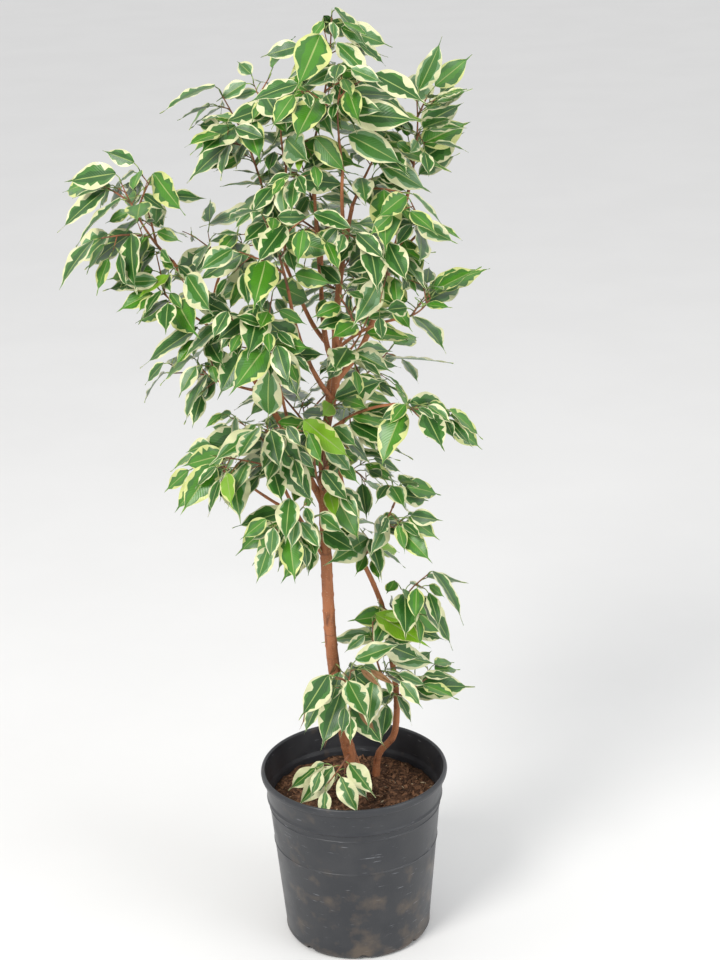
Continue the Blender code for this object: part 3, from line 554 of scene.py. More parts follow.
def lay_leaf(mass, twig, at, turn, stem, rng, own, others, middle, lengths=LEAF_LENGTH):
    """One leaf at a share of a twig, or None where no try finds room for it."""
    point, forward = along(twig, at)
    side = leaf_side(forward, turn)
    outward = Vector((point.x - middle.x, point.y - middle.y, 0.0))
    outward = outward.normalized() if outward.length > 0.01 else FRONT
    light = UP * LIGHT_UP + outward * LIGHT_OUT + FRONT * LIGHT_FRONT
    for attempt in range(LEAF_TRIES):
        length = rng.uniform(*lengths) * (1.0 if attempt < LEAF_TRIES // 2 else LATE_TRY_SIZE)
        swung = Quaternion(UP, rng.uniform(-LEAF_SWING, LEAF_SWING)) @ side
        if at < LAST_LEAF:
            stalk = forward * STALK_FORWARD + swung * STALK_ASIDE + outward * STALK_OUT + UP * STALK_UP
        else:
            stalk = forward + swung * TIP_STALK_ASIDE
        stalk.normalize()
        base = point + stalk * rng.uniform(*PETIOLE_LENGTH)
        heading = (stalk + outward * STALK_OUT - UP * mass.droop * rng.uniform(*LEAF_HANG)).normalized()
        face = (light - heading * light.dot(heading)).normalized()
        face = Quaternion(heading, rng.uniform(-LEAF_ROLL, LEAF_ROLL)) @ face
        width = length * LEAF_WIDTH * rng.uniform(*WIDTH_VARIETY)
        leaf = Leaf(point, base, heading, face, length, width, LEAF_ARCH * rng.uniform(*ARCH_VARIETY))
        blade = blade_body(leaf)
        stalk_body = body(*tube([point, base], [PETIOLE_RADIUS + LEAF_GAP] * 2, TWIG_SIDES))
        if not within(mass, stem, leaf_blade(leaf)[BLADE_TIP]):
            continue
        if meets(blade, own) or meets(blade, others) or meets(stalk_body, others):
            continue
        own.append(blade)
        return leaf
    return None


def mass_stem(mass, limbs):
    """The centre line of a mass's stem, just clear of its limb, its first direction and thickness."""
    parent = limbs[mass.parent]
    origin, direction = along(parent.path, mass.at)
    tip = Vector(mass.tip)
    reach = GAP
    if mass.at < 1.0:
        away = tip - origin
        direction = (away - direction * away.dot(direction)).normalized()
        reach = parent.radius_at(mass.at) + GAP * 2
    path = bowed_path(origin + direction * reach, tip, mass.bow, STEM_STEPS + 1)
    return path, direction, min(parent.radius_at(mass.at), TWIG_RADIUS) * TWIG_SWELL


def grow_mass(mass, limbs, others):
    """The twigs and leaves of a mass, each twig as a path with radii and a first direction."""
    rng = random.Random(mass.seed)
    stem, direction, thick = mass_stem(mass, limbs)
    twigs = [(stem, twig_radii(thick, len(stem)), direction)]
    own = [body(*tube(stem, twigs[0][1], TWIG_SIDES, direction))]
    turn = rng.uniform(0, math.tau)
    for index in range(mass.shoots):
        at = FIRST_SHOOT + SHOOT_REACH * (index + rng.uniform(*SHOOT_JITTER)) / mass.shoots
        point, forward = along(stem, at)
        turn += TURN
        side = Quaternion(forward, turn) @ forward.orthogonal().normalized()
        heading = forward * SHOOT_FORWARD + side * SHOOT_ASIDE + UP * rng.uniform(*SHOOT_LIFT)
        length = mass.shoot_length * rng.uniform(*SHOOT_VARIETY) * (SHOOT_TAPER[0] - SHOOT_TAPER[1] * at)
        path = grow_twig(mass, point, heading.normalized(), length, rng)
        radii = twig_radii(thick * SHOOT_SHARE, len(path))
        if meets(body(*tube(path, [radius + LEAF_GAP for radius in radii], TWIG_SIDES)), others):
            continue
        twigs.append((path, radii, None))
        own.append(body(*tube(path, radii, TWIG_SIDES)))
    leaves = []
    trunk = limbs["trunk"].path
    middle = trunk[len(trunk) // 2]
    for path, radii, start_direction in twigs:
        length = path_length(path)
        count = max(1, round(length / LEAF_SPACING))
        turn = rng.choice((0.5, 0.5 + math.pi))
        for index in range(count + 1):
            at = min((index + FIRST_LEAF) / (count + FIRST_LEAF), LAST_LEAF)
            leaf = lay_leaf(mass, path, at, turn, stem, rng, own, others, middle)
            turn += math.pi
            if leaf:
                leaves.append(leaf)
    return twigs, leaves


@cache
def grow_limbs():
    """Every stem and bough as a centre line with radii, parents before their children."""
    limbs = {}
    base = [(*TRUNK_BASE, SOIL_HEIGHT + GAP)]
    path = smooth_path(base + list(TRUNK_STATIONS), TRUNK_RINGS)
    radii = []
    for index, point in enumerate(path):
        share = index / (len(path) - 1)
        rise = point.z - SOIL_HEIGHT
        flare = 1 + TRUNK_FLARE * math.exp(-rise / TRUNK_FLARE_HEIGHT)
        taper = TRUNK_FOOT_RADIUS + (TRUNK_TIP_RADIUS - TRUNK_FOOT_RADIUS) * share ** 2
        radii.append(taper * flare)
    limbs["trunk"] = Limb(path, radii, TRUNK_SIDES, UP)
    base = [(*SECOND_BASE, SOIL_HEIGHT + GAP)]
    path = smooth_path(base + list(SECOND_STATIONS), SECOND_RINGS)
    radii = []
    for index in range(len(path)):
        share = index / (len(path) - 1)
        radii.append(SECOND_FOOT_RADIUS + (SECOND_TIP_RADIUS - SECOND_FOOT_RADIUS) * share)
    limbs["second_stem"] = Limb(path, radii, SECOND_SIDES, UP)
    for bough in BOUGHS:
        origin, direction = along(limbs[bough.parent].path, bough.at)
        path = bowed_path(origin, bough.tip, bough.bow, BOUGH_RINGS)
        count = len(path)
        step = (bough.tip_radius - bough.radius) / (count - 1)
        radii = [bough.radius + step * index for index in range(count)]
        limbs[bough.name] = Limb(path, radii, BOUGH_SIDES)
    return limbs


def wall_radius(height):
    """Outer radius of the tapering pot wall at a height."""
    return WALL_TOP_RADIUS - WALL_SLOPE * (POT_HEIGHT - height)


def pot_profile():
    """The closed outline of the pot's wall and floor, as radius and height, from the axis outwards."""
    outline = [
        (0.0, 0.0),
        (FLOOR_PAD_RADIUS, 0.0),
        (FLOOR_PAD_RADIUS + 0.002, CHANNEL_HEIGHT),
        (CHANNEL_OUTER_RADIUS, CHANNEL_HEIGHT),
        (CHANNEL_OUTER_RADIUS + 0.002, 0.0),
        (FOOT_RADIUS, 0.0),
        (FOOT_RADIUS + 0.0045, 0.0022),
        (FOOT_RADIUS + 0.0068, 0.0065),
    ]
    base = POT_HEIGHT - BASE_LINE_DEPTH
    outline.append((wall_radius(base), base))
    for depth in reversed(RIB_DEPTHS):
        height = POT_HEIGHT - depth
        outline.append((wall_radius(height - RIB_HEIGHT), height - RIB_HEIGHT))
        outline.append((wall_radius(height) + RIB_HEIGHT, height))
        outline.append((wall_radius(height + RIB_HEIGHT), height + RIB_HEIGHT))
    collar = POT_HEIGHT - COLLAR_DEPTH
    outline += [
        (wall_radius(collar), collar),
        (wall_radius(collar) + COLLAR_STEP * 2, collar + 0.003),
        (wall_radius(collar) + COLLAR_STEP, collar + 0.007),
        (LIP_RADIUS - 0.0045, POT_HEIGHT - LIP_HEIGHT - 0.002),
        (LIP_RADIUS - 0.0008, POT_HEIGHT - LIP_HEIGHT),
        (LIP_RADIUS, POT_HEIGHT - LIP_HEIGHT / 2),
        (LIP_RADIUS - 0.0012, POT_HEIGHT - 0.0012),
        (LIP_RADIUS - 0.0032, POT_HEIGHT),
        (LIP_RADIUS - 0.0055, POT_HEIGHT - 0.0018),
        (wall_radius(collar + 0.010) + COLLAR_STEP - WALL, collar + 0.010),
        (wall_radius(collar + 0.004) - WALL, collar + 0.004),
        (wall_radius(CHANNEL_HEIGHT + WALL) - WALL, CHANNEL_HEIGHT + WALL),
        (FLOOR_PAD_RADIUS - 0.001, CHANNEL_HEIGHT + WALL),
        (FLOOR_PAD_RADIUS - 0.003, WALL),
        (0.0, WALL),
    ]
    return outline


def soil_profile():
    """The outline of the soil that fills the pot, a little proud in the middle."""
    floor = CHANNEL_HEIGHT + WALL + GAP
    edge = wall_radius(SOIL_EDGE_HEIGHT) - WALL - GAP
    return [
        (0.0, WALL + GAP),
        (FLOOR_PAD_RADIUS - 0.004, WALL + GAP),
        (FLOOR_PAD_RADIUS - 0.002, floor),
        (wall_radius(floor) - WALL - GAP, floor),
        (edge, SOIL_EDGE_HEIGHT),
        ((edge + SOIL_FLAT_RADIUS) / 2, (SOIL_EDGE_HEIGHT + SOIL_HEIGHT) / 2 + 0.001),
        (SOIL_FLAT_RADIUS, SOIL_HEIGHT),
        (0.0, SOIL_HEIGHT),
    ]


def turned(outline, segments):
    """Points and faces of an outline turned about the Z axis, its ends on the axis."""
    points = [Vector((0.0, 0.0, outline[0][1])), Vector((0.0, 0.0, outline[-1][1]))]
    rings = outline[1:-1]
    for radius, height in rings:
        for segment in range(segments):
            angle = math.tau * segment / segments
            points.append(Vector((radius * math.cos(angle), radius * math.sin(angle), height)))
    faces = []
    for segment in range(segments):
        after = (segment + 1) % segments
        faces.append((0, 2 + after, 2 + segment))
        for ring in range(len(rings) - 1):
            low = 2 + ring * segments
            high = low + segments
            faces.append((low + segment, low + after, high + after, high + segment))
        last = 2 + (len(rings) - 1) * segments
        faces.append((1, last + segment, last + after))
    return points, faces


def surroundings(limbs):
    """The bodies that foliage keeps clear of before any of it has grown."""
    bodies = [limb.body for limb in limbs.values()]
    bodies.append(body(*turned(pot_profile(), POT_SEGMENTS)))
    bodies.append(body(*turned(soil_profile(), POT_SEGMENTS)))
    return bodies


# Pot and soil meshes
CORNER_EASE = 0.0011
CORNER_STEPS = 3
SHARP_ANGLE = math.radians(38)
NOTCH_FACETS = NOTCH_SIDES * 3
NOTCH_OVERRUN = 0.003
SOIL_RINGS = 40
SOIL_SEGMENTS = 96
SOIL_SKIRT = 0.02
STREWN_RINGS = 30
STREWN_SEGMENTS = 72
STREWN_MARGIN = 0.007
LUMPS_PER_METRE = 55
SCRAP_JOLT = 0.28

# Bark meshes
STEM_FACETS = {"trunk": 28, "second_stem": 18}
STEM_FOOT_LOBES = {"trunk": 0.30, "second_stem": 0.20}
STEM_BARK_STEP = 0.0025
STEM_ROUGHNESS = 0.07
STEM_SUNK = 0.004
BOUGH_FACETS = 14
BOUGH_BARK_STEP = 0.003
BOUGH_ROUGHNESS = 0.08
BOUGH_SCAR_SHARE = 0.8
SCAR_WIDTH = 0.0016
SCAR_HEIGHT = 0.10
SCAR_STRAY = 0.35
LOBE_COUNT = 5
LOBE_REACH = 0.012

# Finer growth than the solids have
FINE_SEED = 1000
FINE_SPACING = 0.030
FINE_PLACE = (0.3, 0.9)
LAST_FINE_TWIG = 0.97
FINE_TWIG_LENGTH = (0.012, 0.028)
FINE_TWIG_RADIUS = 0.0008
FINE_FORWARD = 0.5
FINE_LIFT = 0.3
FINE_LEAF_LENGTH = (0.030, 0.052)
FINE_LEAF_PLACES = ((0.45, 0.5), (0.75, 0.5 + math.pi), (LAST_LEAF, 0.5))

# Twig meshes
TWIG_ROUND = 0.8
TWIG_THINNING = 0.35
TWIG_FACETS = 7
TWIG_SUNK = 0.003
STEM_STATIONS = 12
SHOOT_STATIONS = 8
FINE_TWIG_FACETS = 5
BUD_LENGTH = (0.006, 0.011)
BUD_RADII = (0.0009, 0.0008, 0.0001)
PETIOLE_ROUND = 0.0007
PETIOLE_SHARES = (1.3, 1.0, 1.0, 1.0, 0.7)
PETIOLE_SUNK = 0.002

# Leaf meshes: stations along a blade, its outline, and the borders of its bands across a half blade
LEAF_SEED = 2000
MAIN_STATIONS = 16
FINE_STATIONS = 10
DRIP_TIP = 0.84
DRIP_WIDTH = 0.085
TIP_CROWDING = 0.12
RIB_SHARE = 0.045
CREAM_STRAY = (-0.10, 0.08)
CREAM_BITE = (0.12, 0.40)
CREAM_LIMITS = (0.26, 0.97)
BAND_BORDER = (0.40, 0.62)
BAND_STRAY = (-0.10, 0.10)
NARROWEST_BAND = 0.03
BLADE_WAVES = (2.0, 3.4)
WAVE_HEIGHT = 0.035
BLADE_TWIST = (-0.25, 0.25)
BLADE_BEND = (-0.05, 0.05)
FOLD_SHARE = 1.3
DRY_CURL = 2.6
DRY_WIDTH = 0.55

# How a leaf is dealt its colours: the finishes of its middle, of the band beside it and of its edge
TINTS = {
    "deep": ("leaf_deep", "leaf_mid", "leaf_cream"),
    "bright": ("leaf_bright", "leaf_mid", "leaf_yellow"),
    # The band of these leaves is partly the real grey-green band, partly a painted reflection: the pale
    # sheen of light on glossy blades.
    "grey": ("leaf_mid", "leaf_grey", "leaf_cream"),
    "lime": ("leaf_lime", "leaf_lime", "leaf_yellow"),
    # The same partly painted sheen for the band, with a wide cream edge.
    "pale": ("leaf_mid", "leaf_grey", "leaf_cream"),
    "dry": ("leaf_dry", "leaf_dry", "leaf_dry"),
}
COMMON_TINTS = {"deep": 5.0, "bright": 3.2, "grey": 2.0, "lime": 0.25}
SPRAY_TINTS = {
    "foot_foliage": {"pale": 1.0},
    "low_front_foliage": {"deep": 3.0, "dry": 2.0, "grey": 1.0},
    "second_mid_foliage": {"grey": 3.0, "deep": 2.0, "lime": 1.0},
    "low_left_foliage": {"deep": 4.0, "bright": 2.0, "grey": 3.0, "lime": 1.0},
    "top_foliage": {"bright": 4.0, "deep": 3.0, "grey": 2.0},
    "top_right_foliage": {"deep": 3.0, "grey": 2.0, "bright": 2.0},
}
CREAM_BORDER = {"deep": 0.84, "bright": 0.88, "grey": 0.76, "lime": 0.94, "pale": 0.56, "dry": 0.9}

# Camera: where it stands and how it is turned, for an image of 720 by 960
CAMERA_PLACE = (0.0, -2.5, 1.615)
CAMERA_YAW = math.radians(0.43)
CAMERA_PITCH = math.radians(20.89)
CAMERA_ROLL = math.radians(-1.55)
FOCAL_PIXELS = 2073
IMAGE_HEIGHT = 960
SENSOR_HEIGHT = 24.0

# Floor and lights
FLOOR_REACH = 30.0
LIGHT_TARGET = (0.0, 0.0, 0.7)
KEY_PLACE = (-1.7, -2.2, 3.1)
FILL_PLACE = (2.4, -1.6, 1.6)


class Scrap(NamedTuple):
    """A kind of scrap on the soil: its piece, size, number per square metre, scales and tilt."""

    name: str
    size: tuple
    density: float
    scales: tuple
    tilt: float
    seed: int
    finish: str


SCRAPS = (
    Scrap("bark_chips", (0.013, 0.007, 0.0026), 9500, (0.45, 1.15), 0.5, 3, "brown"),
    Scrap("bark_flakes", (0.008, 0.006, 0.0018), 11000, (0.4, 1.1), 0.9, 5, "brown"),
    Scrap("soil_crumbs", (0.0042, 0.0036, 0.0030), 26000, (0.4, 1.2), 3.0, 7, "dark"),
    Scrap("pale_scraps", (0.011, 0.0026, 0.0012), 1300, (0.4, 1.3), 0.4, 11, "pale"),
)


def colour(name, description, value):
    return FloatVectorProperty(name=name, description=description, subtype="COLOR", default=value)


class FigPotSettings(bpy.types.PropertyGroup):
    """Sizes and colours of the pot."""

    plastic: colour("Plastic", "Colour of the pot", (0.024, 0.026, 0.031))
    scuff: colour("Scuffs", "Colour of worn and scratched plastic", (0.150, 0.155, 0.170))
    dust: colour("Dust", "Colour of the dried mud on the wall", (0.150, 0.110, 0.075))
    segments: IntProperty(name="Segments", description="Faces round the pot", default=112, min=28)


class FigSoilSettings(bpy.types.PropertyGroup):
    """Sizes and colours of the potting mix."""

    earth: colour("Earth", "Colour of the fine soil", (0.085, 0.042, 0.024))
    chip: colour("Chips", "Colour of the bark chips", (0.200, 0.098, 0.052))
    straw: colour("Straw", "Colour of the pale scraps", (0.52, 0.40, 0.26))
    relief: FloatProperty(
        name="Relief", description="Height of the lumps", unit="LENGTH", default=0.0035, min=0.0
    )


class FigWoodSettings(bpy.types.PropertyGroup):
    """Sizes and colours of the trunk, boughs and twigs."""

    bark: colour("Bark", "Main colour of the bark", (0.330, 0.125, 0.055))
    shade: colour("Dark bark", "Colour of its darker streaks", (0.115, 0.045, 0.026))
    pores: colour("Pores", "Colour of its raised pores", (0.50, 0.32, 0.20))
    shoot: colour("Shoots", "Colour of young shoots", (0.165, 0.070, 0.035))
    scar_spacing: FloatProperty(
        name="Scar spacing", description="Distance between the rings left by old leaves",
        unit="LENGTH", default=0.026, min=0.005,
    )


class FigLeafSettings(bpy.types.PropertyGroup):
    """Colours of the leaves and how ragged their cream edge is."""

    deep: colour("Deep green", "Middle of an older leaf", (0.022, 0.105, 0.010))
    mid: colour("Middle green", "Band beside the middle", (0.050, 0.175, 0.022))
    bright: colour("Bright green", "Middle of a younger leaf", (0.062, 0.230, 0.010))
    lime: colour("Lime", "The youngest leaves", (0.190, 0.400, 0.012))
    # Grey green: partly the leaf's real grey-green band, partly a painted reflection, the pale sheen of
    # light on glossy blades.
    grey: colour("Grey green", "Clouded band of a leaf", (0.150, 0.300, 0.125))
    cream: colour("Cream", "Edge of a leaf", (0.72, 0.72, 0.42))
    yellow: colour("Yellow cream", "Edge of a younger leaf", (0.62, 0.66, 0.24))
    dry: colour("Dry", "Dead, curled leaves", (0.235, 0.120, 0.045))
    rib: colour("Rib", "Midribs and leaf stalks", (0.300, 0.400, 0.120))
    raggedness: FloatProperty(
        name="Raggedness", description="Chance that the cream bites deep into the green at a station",
        subtype="FACTOR", default=0.28, min=0.0, max=0.7,
    )


class FigStageSettings(bpy.types.PropertyGroup):
    """The floor and the light."""

    floor: colour("Floor", "Colour of the floor", (0.80, 0.80, 0.80))
    key_power: FloatProperty(name="Key light", description="Power", unit="POWER", default=95.0)
    fill_power: FloatProperty(name="Fill light", description="Power", unit="POWER", default=32.0)
    sky: FloatProperty(name="Sky", description="Strength of the light all round", default=0.85)


def feed(tree, socket, value):
    """Gives a socket its value, or a link from another socket."""
    if isinstance(value, bpy.types.NodeSocket):
        tree.links.new(value, socket)
    else:
        socket.default_value = value


def add_node(tree, kind, inputs=(), **values):
    """A node with some of its properties set and some of its inputs fed, by name or by number."""
    made = tree.nodes.new(kind)
    for key, value in values.items():
        setattr(made, key, value)
    for key, value in dict(inputs).items():
        feed(tree, made.inputs[key], value)
    return made


def sum_up(tree, operation, *values):
    """The value of a math node."""
    return add_node(tree, "ShaderNodeMath", enumerate(values), operation=operation).outputs["Value"]


def mix_colours(tree, factor, first, second):
    """A mix of two colours. Each argument is a socket or a value."""
    inputs = {0: factor, 6: first, 7: second}
    return add_node(tree, "ShaderNodeMix", inputs, data_type="RGBA").outputs[2]


def mapped(tree, value, low, high, to_low=0.0, to_high=1.0):
    """A value moved from one range to another, and held there."""
    inputs = {"Value": value, "From Min": low, "From Max": high, "To Min": to_low, "To Max": to_high}
    return add_node(tree, "ShaderNodeMapRange", inputs).outputs["Result"]


def stretched(tree, vector, scale):
    return add_node(tree, "ShaderNodeMapping", {"Vector": vector, "Scale": scale}).outputs["Vector"]


def clouds(tree, vector, scale, detail):
    inputs = {"Vector": vector, "Scale": scale, "Detail": detail}
    return add_node(tree, "ShaderNodeTexNoise", inputs).outputs["Fac"]


@cache
def mottle_group():
    """A node group that mixes two colours in clouds and also puts out the mask of the clouds."""
    tree = bpy.data.node_groups.new("Mottle", "ShaderNodeTree")
    for title in ("First", "Second"):
        tree.interface.new_socket(title, in_out="INPUT", socket_type="NodeSocketColor")
    tree.interface.new_socket("Vector", in_out="INPUT", socket_type="NodeSocketVector")
    for title in ("Scale", "Low", "High"):
        tree.interface.new_socket(title, in_out="INPUT", socket_type="NodeSocketFloat")
    tree.interface.new_socket("Colour", in_out="OUTPUT", socket_type="NodeSocketColor")
    tree.interface.new_socket("Mask", in_out="OUTPUT", socket_type="NodeSocketFloat")
    given = tree.nodes.new("NodeGroupInput").outputs
    cloud = clouds(tree, given["Vector"], given["Scale"], 5.0)
    mask = mapped(tree, cloud, given["Low"], given["High"])
    mixed = mix_colours(tree, mask, given["First"], given["Second"])
    add_node(tree, "NodeGroupOutput", {"Colour": mixed, "Mask": mask})
    return tree


def mottle(tree, vector, first, second, scale, low, high):
    """The outputs of the mottle group, placed in a material."""
    inputs = {"First": first, "Second": second, "Vector": vector, "Scale": scale, "Low": low, "High": high}
    made = add_node(tree, "ShaderNodeGroup", node_tree=mottle_group())
    for title, value in inputs.items():
        feed(tree, made.inputs[title], value)
    return made.outputs


def mottled(tree, vector, first, second, scale, low=0.4, high=0.6):
    return mottle(tree, vector, first, second, scale, low, high)["Colour"]


def finish(name, roughness, coat=0.0, specular=0.5):
    """A material with its tree, its shader and its object coordinates."""
    made = bpy.data.materials.new(name)
    made.use_nodes = True
    tree = made.node_tree
    shader = tree.nodes["Principled BSDF"]
    shader.inputs["Roughness"].default_value = roughness
    shader.inputs["Coat Weight"].default_value = coat
    shader.inputs["Specular IOR Level"].default_value = specular
    place = add_node(tree, "ShaderNodeTexCoord").outputs["Object"]
    return made, tree, shader, place


def raise_bumps(tree, shader, height, distance, strength=1.0):
    inputs = {"Height": height, "Distance": distance, "Strength": strength}
    feed(tree, shader.inputs["Normal"], add_node(tree, "ShaderNodeBump", inputs).outputs["Normal"])


def opaque(tone, share=1.0):
    """A colour for a socket, made darker or lighter by a share."""
    return (*[min(part * share, 1.0) for part in tone], 1.0)


def pot_material(settings):
    """Black plastic, mottled grey, with level scratches and dried mud towards its foot."""
    made, tree, shader, place = finish("nursery pot plastic", 0.42)
    worn = [(part + scuff) / 2 for part, scuff in zip(settings.plastic, settings.scuff)]
    clouded = mottle(tree, place, opaque(settings.plastic), opaque(worn, 0.42), 26.0, 0.42, 0.72)
    scratches = stretched(tree, place, (30.0, 30.0, 260.0))
    tone = mottled(tree, scratches, clouded["Colour"], opaque(settings.scuff), 1.6, 0.66, 0.74)
    specks = stretched(tree, place, (240.0, 240.0, 60.0))
    tone = mottled(tree, specks, tone, opaque(worn), 1.0, 0.70, 0.80)
    height = add_node(tree, "ShaderNodeSeparateXYZ", {"Vector": place}).outputs["Z"]
    low = mapped(tree, height, 0.0, POT_HEIGHT * 0.75, 0.16, -0.02)
    mud = sum_up(tree, "ADD", clouds(tree, place, 34.0, 8.0), low)
    tone = mix_colours(tree, mapped(tree, mud, 0.60, 0.82, 0.0, 0.55), tone, opaque(settings.dust))
    feed(tree, shader.inputs["Base Color"], tone)
    feed(tree, shader.inputs["Roughness"], mapped(tree, clouded["Mask"], 0.0, 1.0, 0.34, 0.52))
    raise_bumps(tree, shader, clouds(tree, place, 420.0, 3.0), 0.0003, 0.35)
    return made


def soil_material(settings):
    made, tree, shader, place = finish("potting mix", 0.95, specular=0.2)
    tone = mottled(tree, place, opaque(settings.earth), opaque(settings.earth, 0.45), 90.0)
    tone = mottled(tree, place, tone, opaque(settings.chip), 210.0, 0.56, 0.64)
    feed(tree, shader.inputs["Base Color"], tone)
    raise_bumps(tree, shader, clouds(tree, place, 500.0, 6.0), 0.0016)
    return made


def scrap_material(name, tone):
    made, tree, shader, place = finish(name, 0.85, specular=0.25)
    feed(tree, shader.inputs["Base Color"], mottled(tree, place, opaque(tone), opaque(tone, 0.5), 130.0))
    raise_bumps(tree, shader, clouds(tree, place, 700.0, 3.0), 0.0005)
    return made


def bark_material(settings):
    """Orange brown bark with darker streaks, pale raised pores and fine cracks."""
    made, tree, shader, place = finish("fig bark", 0.68, specular=0.35)
    grain = stretched(tree, place, (1.0, 1.0, 0.25))
    tone = mottled(tree, grain, opaque(settings.bark), opaque(settings.bark, 1.35), 55.0, 0.40, 0.66)
    tone = mottled(tree, grain, tone, opaque(settings.shade), 150.0, 0.55, 0.75)
    bands = stretched(tree, place, (10.0, 10.0, 90.0))
    tone = mottled(tree, bands, tone, opaque(settings.shade), 1.0, 0.64, 0.80)
    level = stretched(tree, place, (1.0, 1.0, 2.0))
    cells = add_node(tree, "ShaderNodeTexVoronoi", {"Vector": level, "Scale": 240.0})
    pores = mapped(tree, cells.outputs["Distance"], 0.10, 0.24, 0.8, 0.0)
    feed(tree, shader.inputs["Base Color"], mix_colours(tree, pores, tone, opaque(settings.pores)))
    raise_bumps(tree, shader, sum_up(tree, "ADD", pores, clouds(tree, grain, 320.0, 5.0)), 0.0006)
    return made


def shoot_material(settings):
    made, tree, shader, place = finish("young shoots", 0.55, specular=0.4)
    tone = mottled(tree, place, opaque(settings.shoot), opaque(settings.bark), 60.0, 0.42, 0.62)
    feed(tree, shader.inputs["Base Color"], tone)
    raise_bumps(tree, shader, clouds(tree, place, 500.0, 3.0), 0.0004)
    return made


def leaf_material(name, tone, roughness, coat):
    """A waxy leaf, a little clouded, with fine slanting side veins from the leaf's own map."""
    made, tree, shader, place = finish(name.replace("_", " "), roughness, coat)
    shader.inputs["Coat Roughness"].default_value = 0.3
    clouded = mottled(tree, place, opaque(tone), opaque(tone, 0.80), 35.0, 0.38, 0.66)
    feed(tree, shader.inputs["Base Color"], clouded)
    sheet = add_node(tree, "ShaderNodeUVMap").outputs["UV"]
    on_leaf = add_node(tree, "ShaderNodeSeparateXYZ", {"Vector": sheet}).outputs
    aside = sum_up(tree, "ABSOLUTE", sum_up(tree, "SUBTRACT", on_leaf["X"], 0.5))
    slant = sum_up(tree, "MULTIPLY_ADD", aside, -0.45, on_leaf["Y"])
    veins = sum_up(tree, "SINE", sum_up(tree, "MULTIPLY", slant, 120.0))
    raise_bumps(tree, shader, veins, 0.0002, 0.35)
    return made


def mesh_piece(name, points, faces, material, smooth=True):
    """A mesh object at the origin, its place in its points."""
    mesh = bpy.data.meshes.new(name)
    mesh.from_pydata([tuple(point) for point in points], [], faces)
    mesh.update()
    if smooth:
        mesh.shade_smooth()
    mesh.materials.append(material)
    piece = bpy.data.objects.new(name, mesh)
    bpy.context.scene.collection.objects.link(piece)
    return piece


def bake_modifiers(piece):
    """Turns a piece's modifiers into its plain mesh."""
    graph = bpy.context.evaluated_depsgraph_get()
    mesh = bpy.data.meshes.new_from_object(piece.evaluated_get(graph))
    piece.modifiers.clear()
    piece.data = mesh


def settle(piece, slot, *nodes):
    """Attaches a finished piece to what it moves with and hides the solids it stands for; its slot is not
    used.
    """
    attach(piece, BODY)
    if nodes:
        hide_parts(*nodes)


def add_shape(points, faces, shape):
    """Adds a shape's points and faces to those of a piece."""
    first = len(points)
    points += shape[0]
    faces += [tuple(corner + first for corner in face) for face in shape[1]]


def arc_of(start, middle, end, steps):
    """Points of a rounded corner, from start to end, pulled towards its middle."""
    row = []
    for step in range(1, steps + 1):
        t = step / (steps + 1)
        row.append(tuple(
            (1 - t) ** 2 * first + 2 * t * (1 - t) * pull + t * t * last
            for first, pull, last in zip(start, middle, end)
        ))
    return row


def rounded(outline):
    """The outline with each of its corners eased by a small arc."""
    made = [outline[0]]
    for before, corner, after in zip(outline, outline[1:], outline[2:]):
        into = Vector(before) - Vector(corner)
        out = Vector(after) - Vector(corner)
        reach = min(CORNER_EASE, into.length * 0.45, out.length * 0.45)
        start = Vector(corner) + into.normalized() * reach
        end = Vector(corner) + out.normalized() * reach
        made += [tuple(start), *arc_of(tuple(start), corner, tuple(end), CORNER_STEPS), tuple(end)]
    made.append(outline[-1])
    return made


def take_out(piece, cutter):
    """Cuts the cutter's shape out of a piece and removes the cutter."""
    modifier = piece.modifiers.new("Cut", "BOOLEAN")
    modifier.operation = "DIFFERENCE"
    modifier.solver = "EXACT"
    modifier.object = cutter
    bake_modifiers(piece)
    bpy.data.objects.remove(cutter, do_unlink=True)


def build_pot(settings):
    """The pot, turned from its outline with its corners eased, and its drain notches."""
    material = pot_material(settings)
    pot = mesh_piece("pot_shell", *turned(rounded(pot_profile()), settings.segments), material)
    radius = NOTCH_WIDTH / 2
    middle = Vector((0.0, 0.0, NOTCH_HEIGHT - radius))
    for index in range(NOTCH_COUNT):
        angle = math.tau * index / NOTCH_COUNT + NOTCH_TURN
        reach = Vector((math.cos(angle), math.sin(angle), 0.0))
        path = [middle + reach * (CHANNEL_OUTER_RADIUS - NOTCH_OVERRUN), middle + reach * LIP_RADIUS]
        take_out(pot, mesh_piece("notch", *tube(path, [radius, radius], NOTCH_FACETS), material, False))
    pot.data.shade_smooth()
    pot.data.set_sharp_from_angle(angle=SHARP_ANGLE)
    settle(pot, "pot_plastic", "pot")


def soil_reach():
    """Radius of the soil's edge, just clear of the wall."""
    return wall_radius(SOIL_EDGE_HEIGHT) - WALL - GAP


def soil_top(x, y, relief):
    """Height of the lumpy soil at a place."""
    share = (math.hypot(x, y) - SOIL_FLAT_RADIUS) / (soil_reach() - SOIL_FLAT_RADIUS)
    level = SOIL_HEIGHT + (SOIL_EDGE_HEIGHT - SOIL_HEIGHT) * min(max(share, 0.0), 1.0)
    return level + noise.fractal(Vector((x, y, 0.0)) * LUMPS_PER_METRE, 0.8, 2.1, 5) * relief


def soil_sheet(relief, rings, segments, reach):
    """The lumpy top of the soil, from its middle outwards."""
    points = [Vector((0.0, 0.0, soil_top(0.0, 0.0, relief)))]
    for ring in range(1, rings + 1):
        radius = reach * ring / rings
        for segment in range(segments):
            angle = math.tau * segment / segments
            x, y = radius * math.cos(angle), radius * math.sin(angle)
            points.append(Vector((x, y, soil_top(x, y, relief))))
    faces = [(0, 1 + segment, 1 + (segment + 1) % segments) for segment in range(segments)]
    for ring in range(rings - 1):
        low = 1 + ring * segments
        for segment in range(segments):
            after = (segment + 1) % segments
            faces.append((low + segment, low + segments + segment, low + segments + after, low + after))
    return points, faces


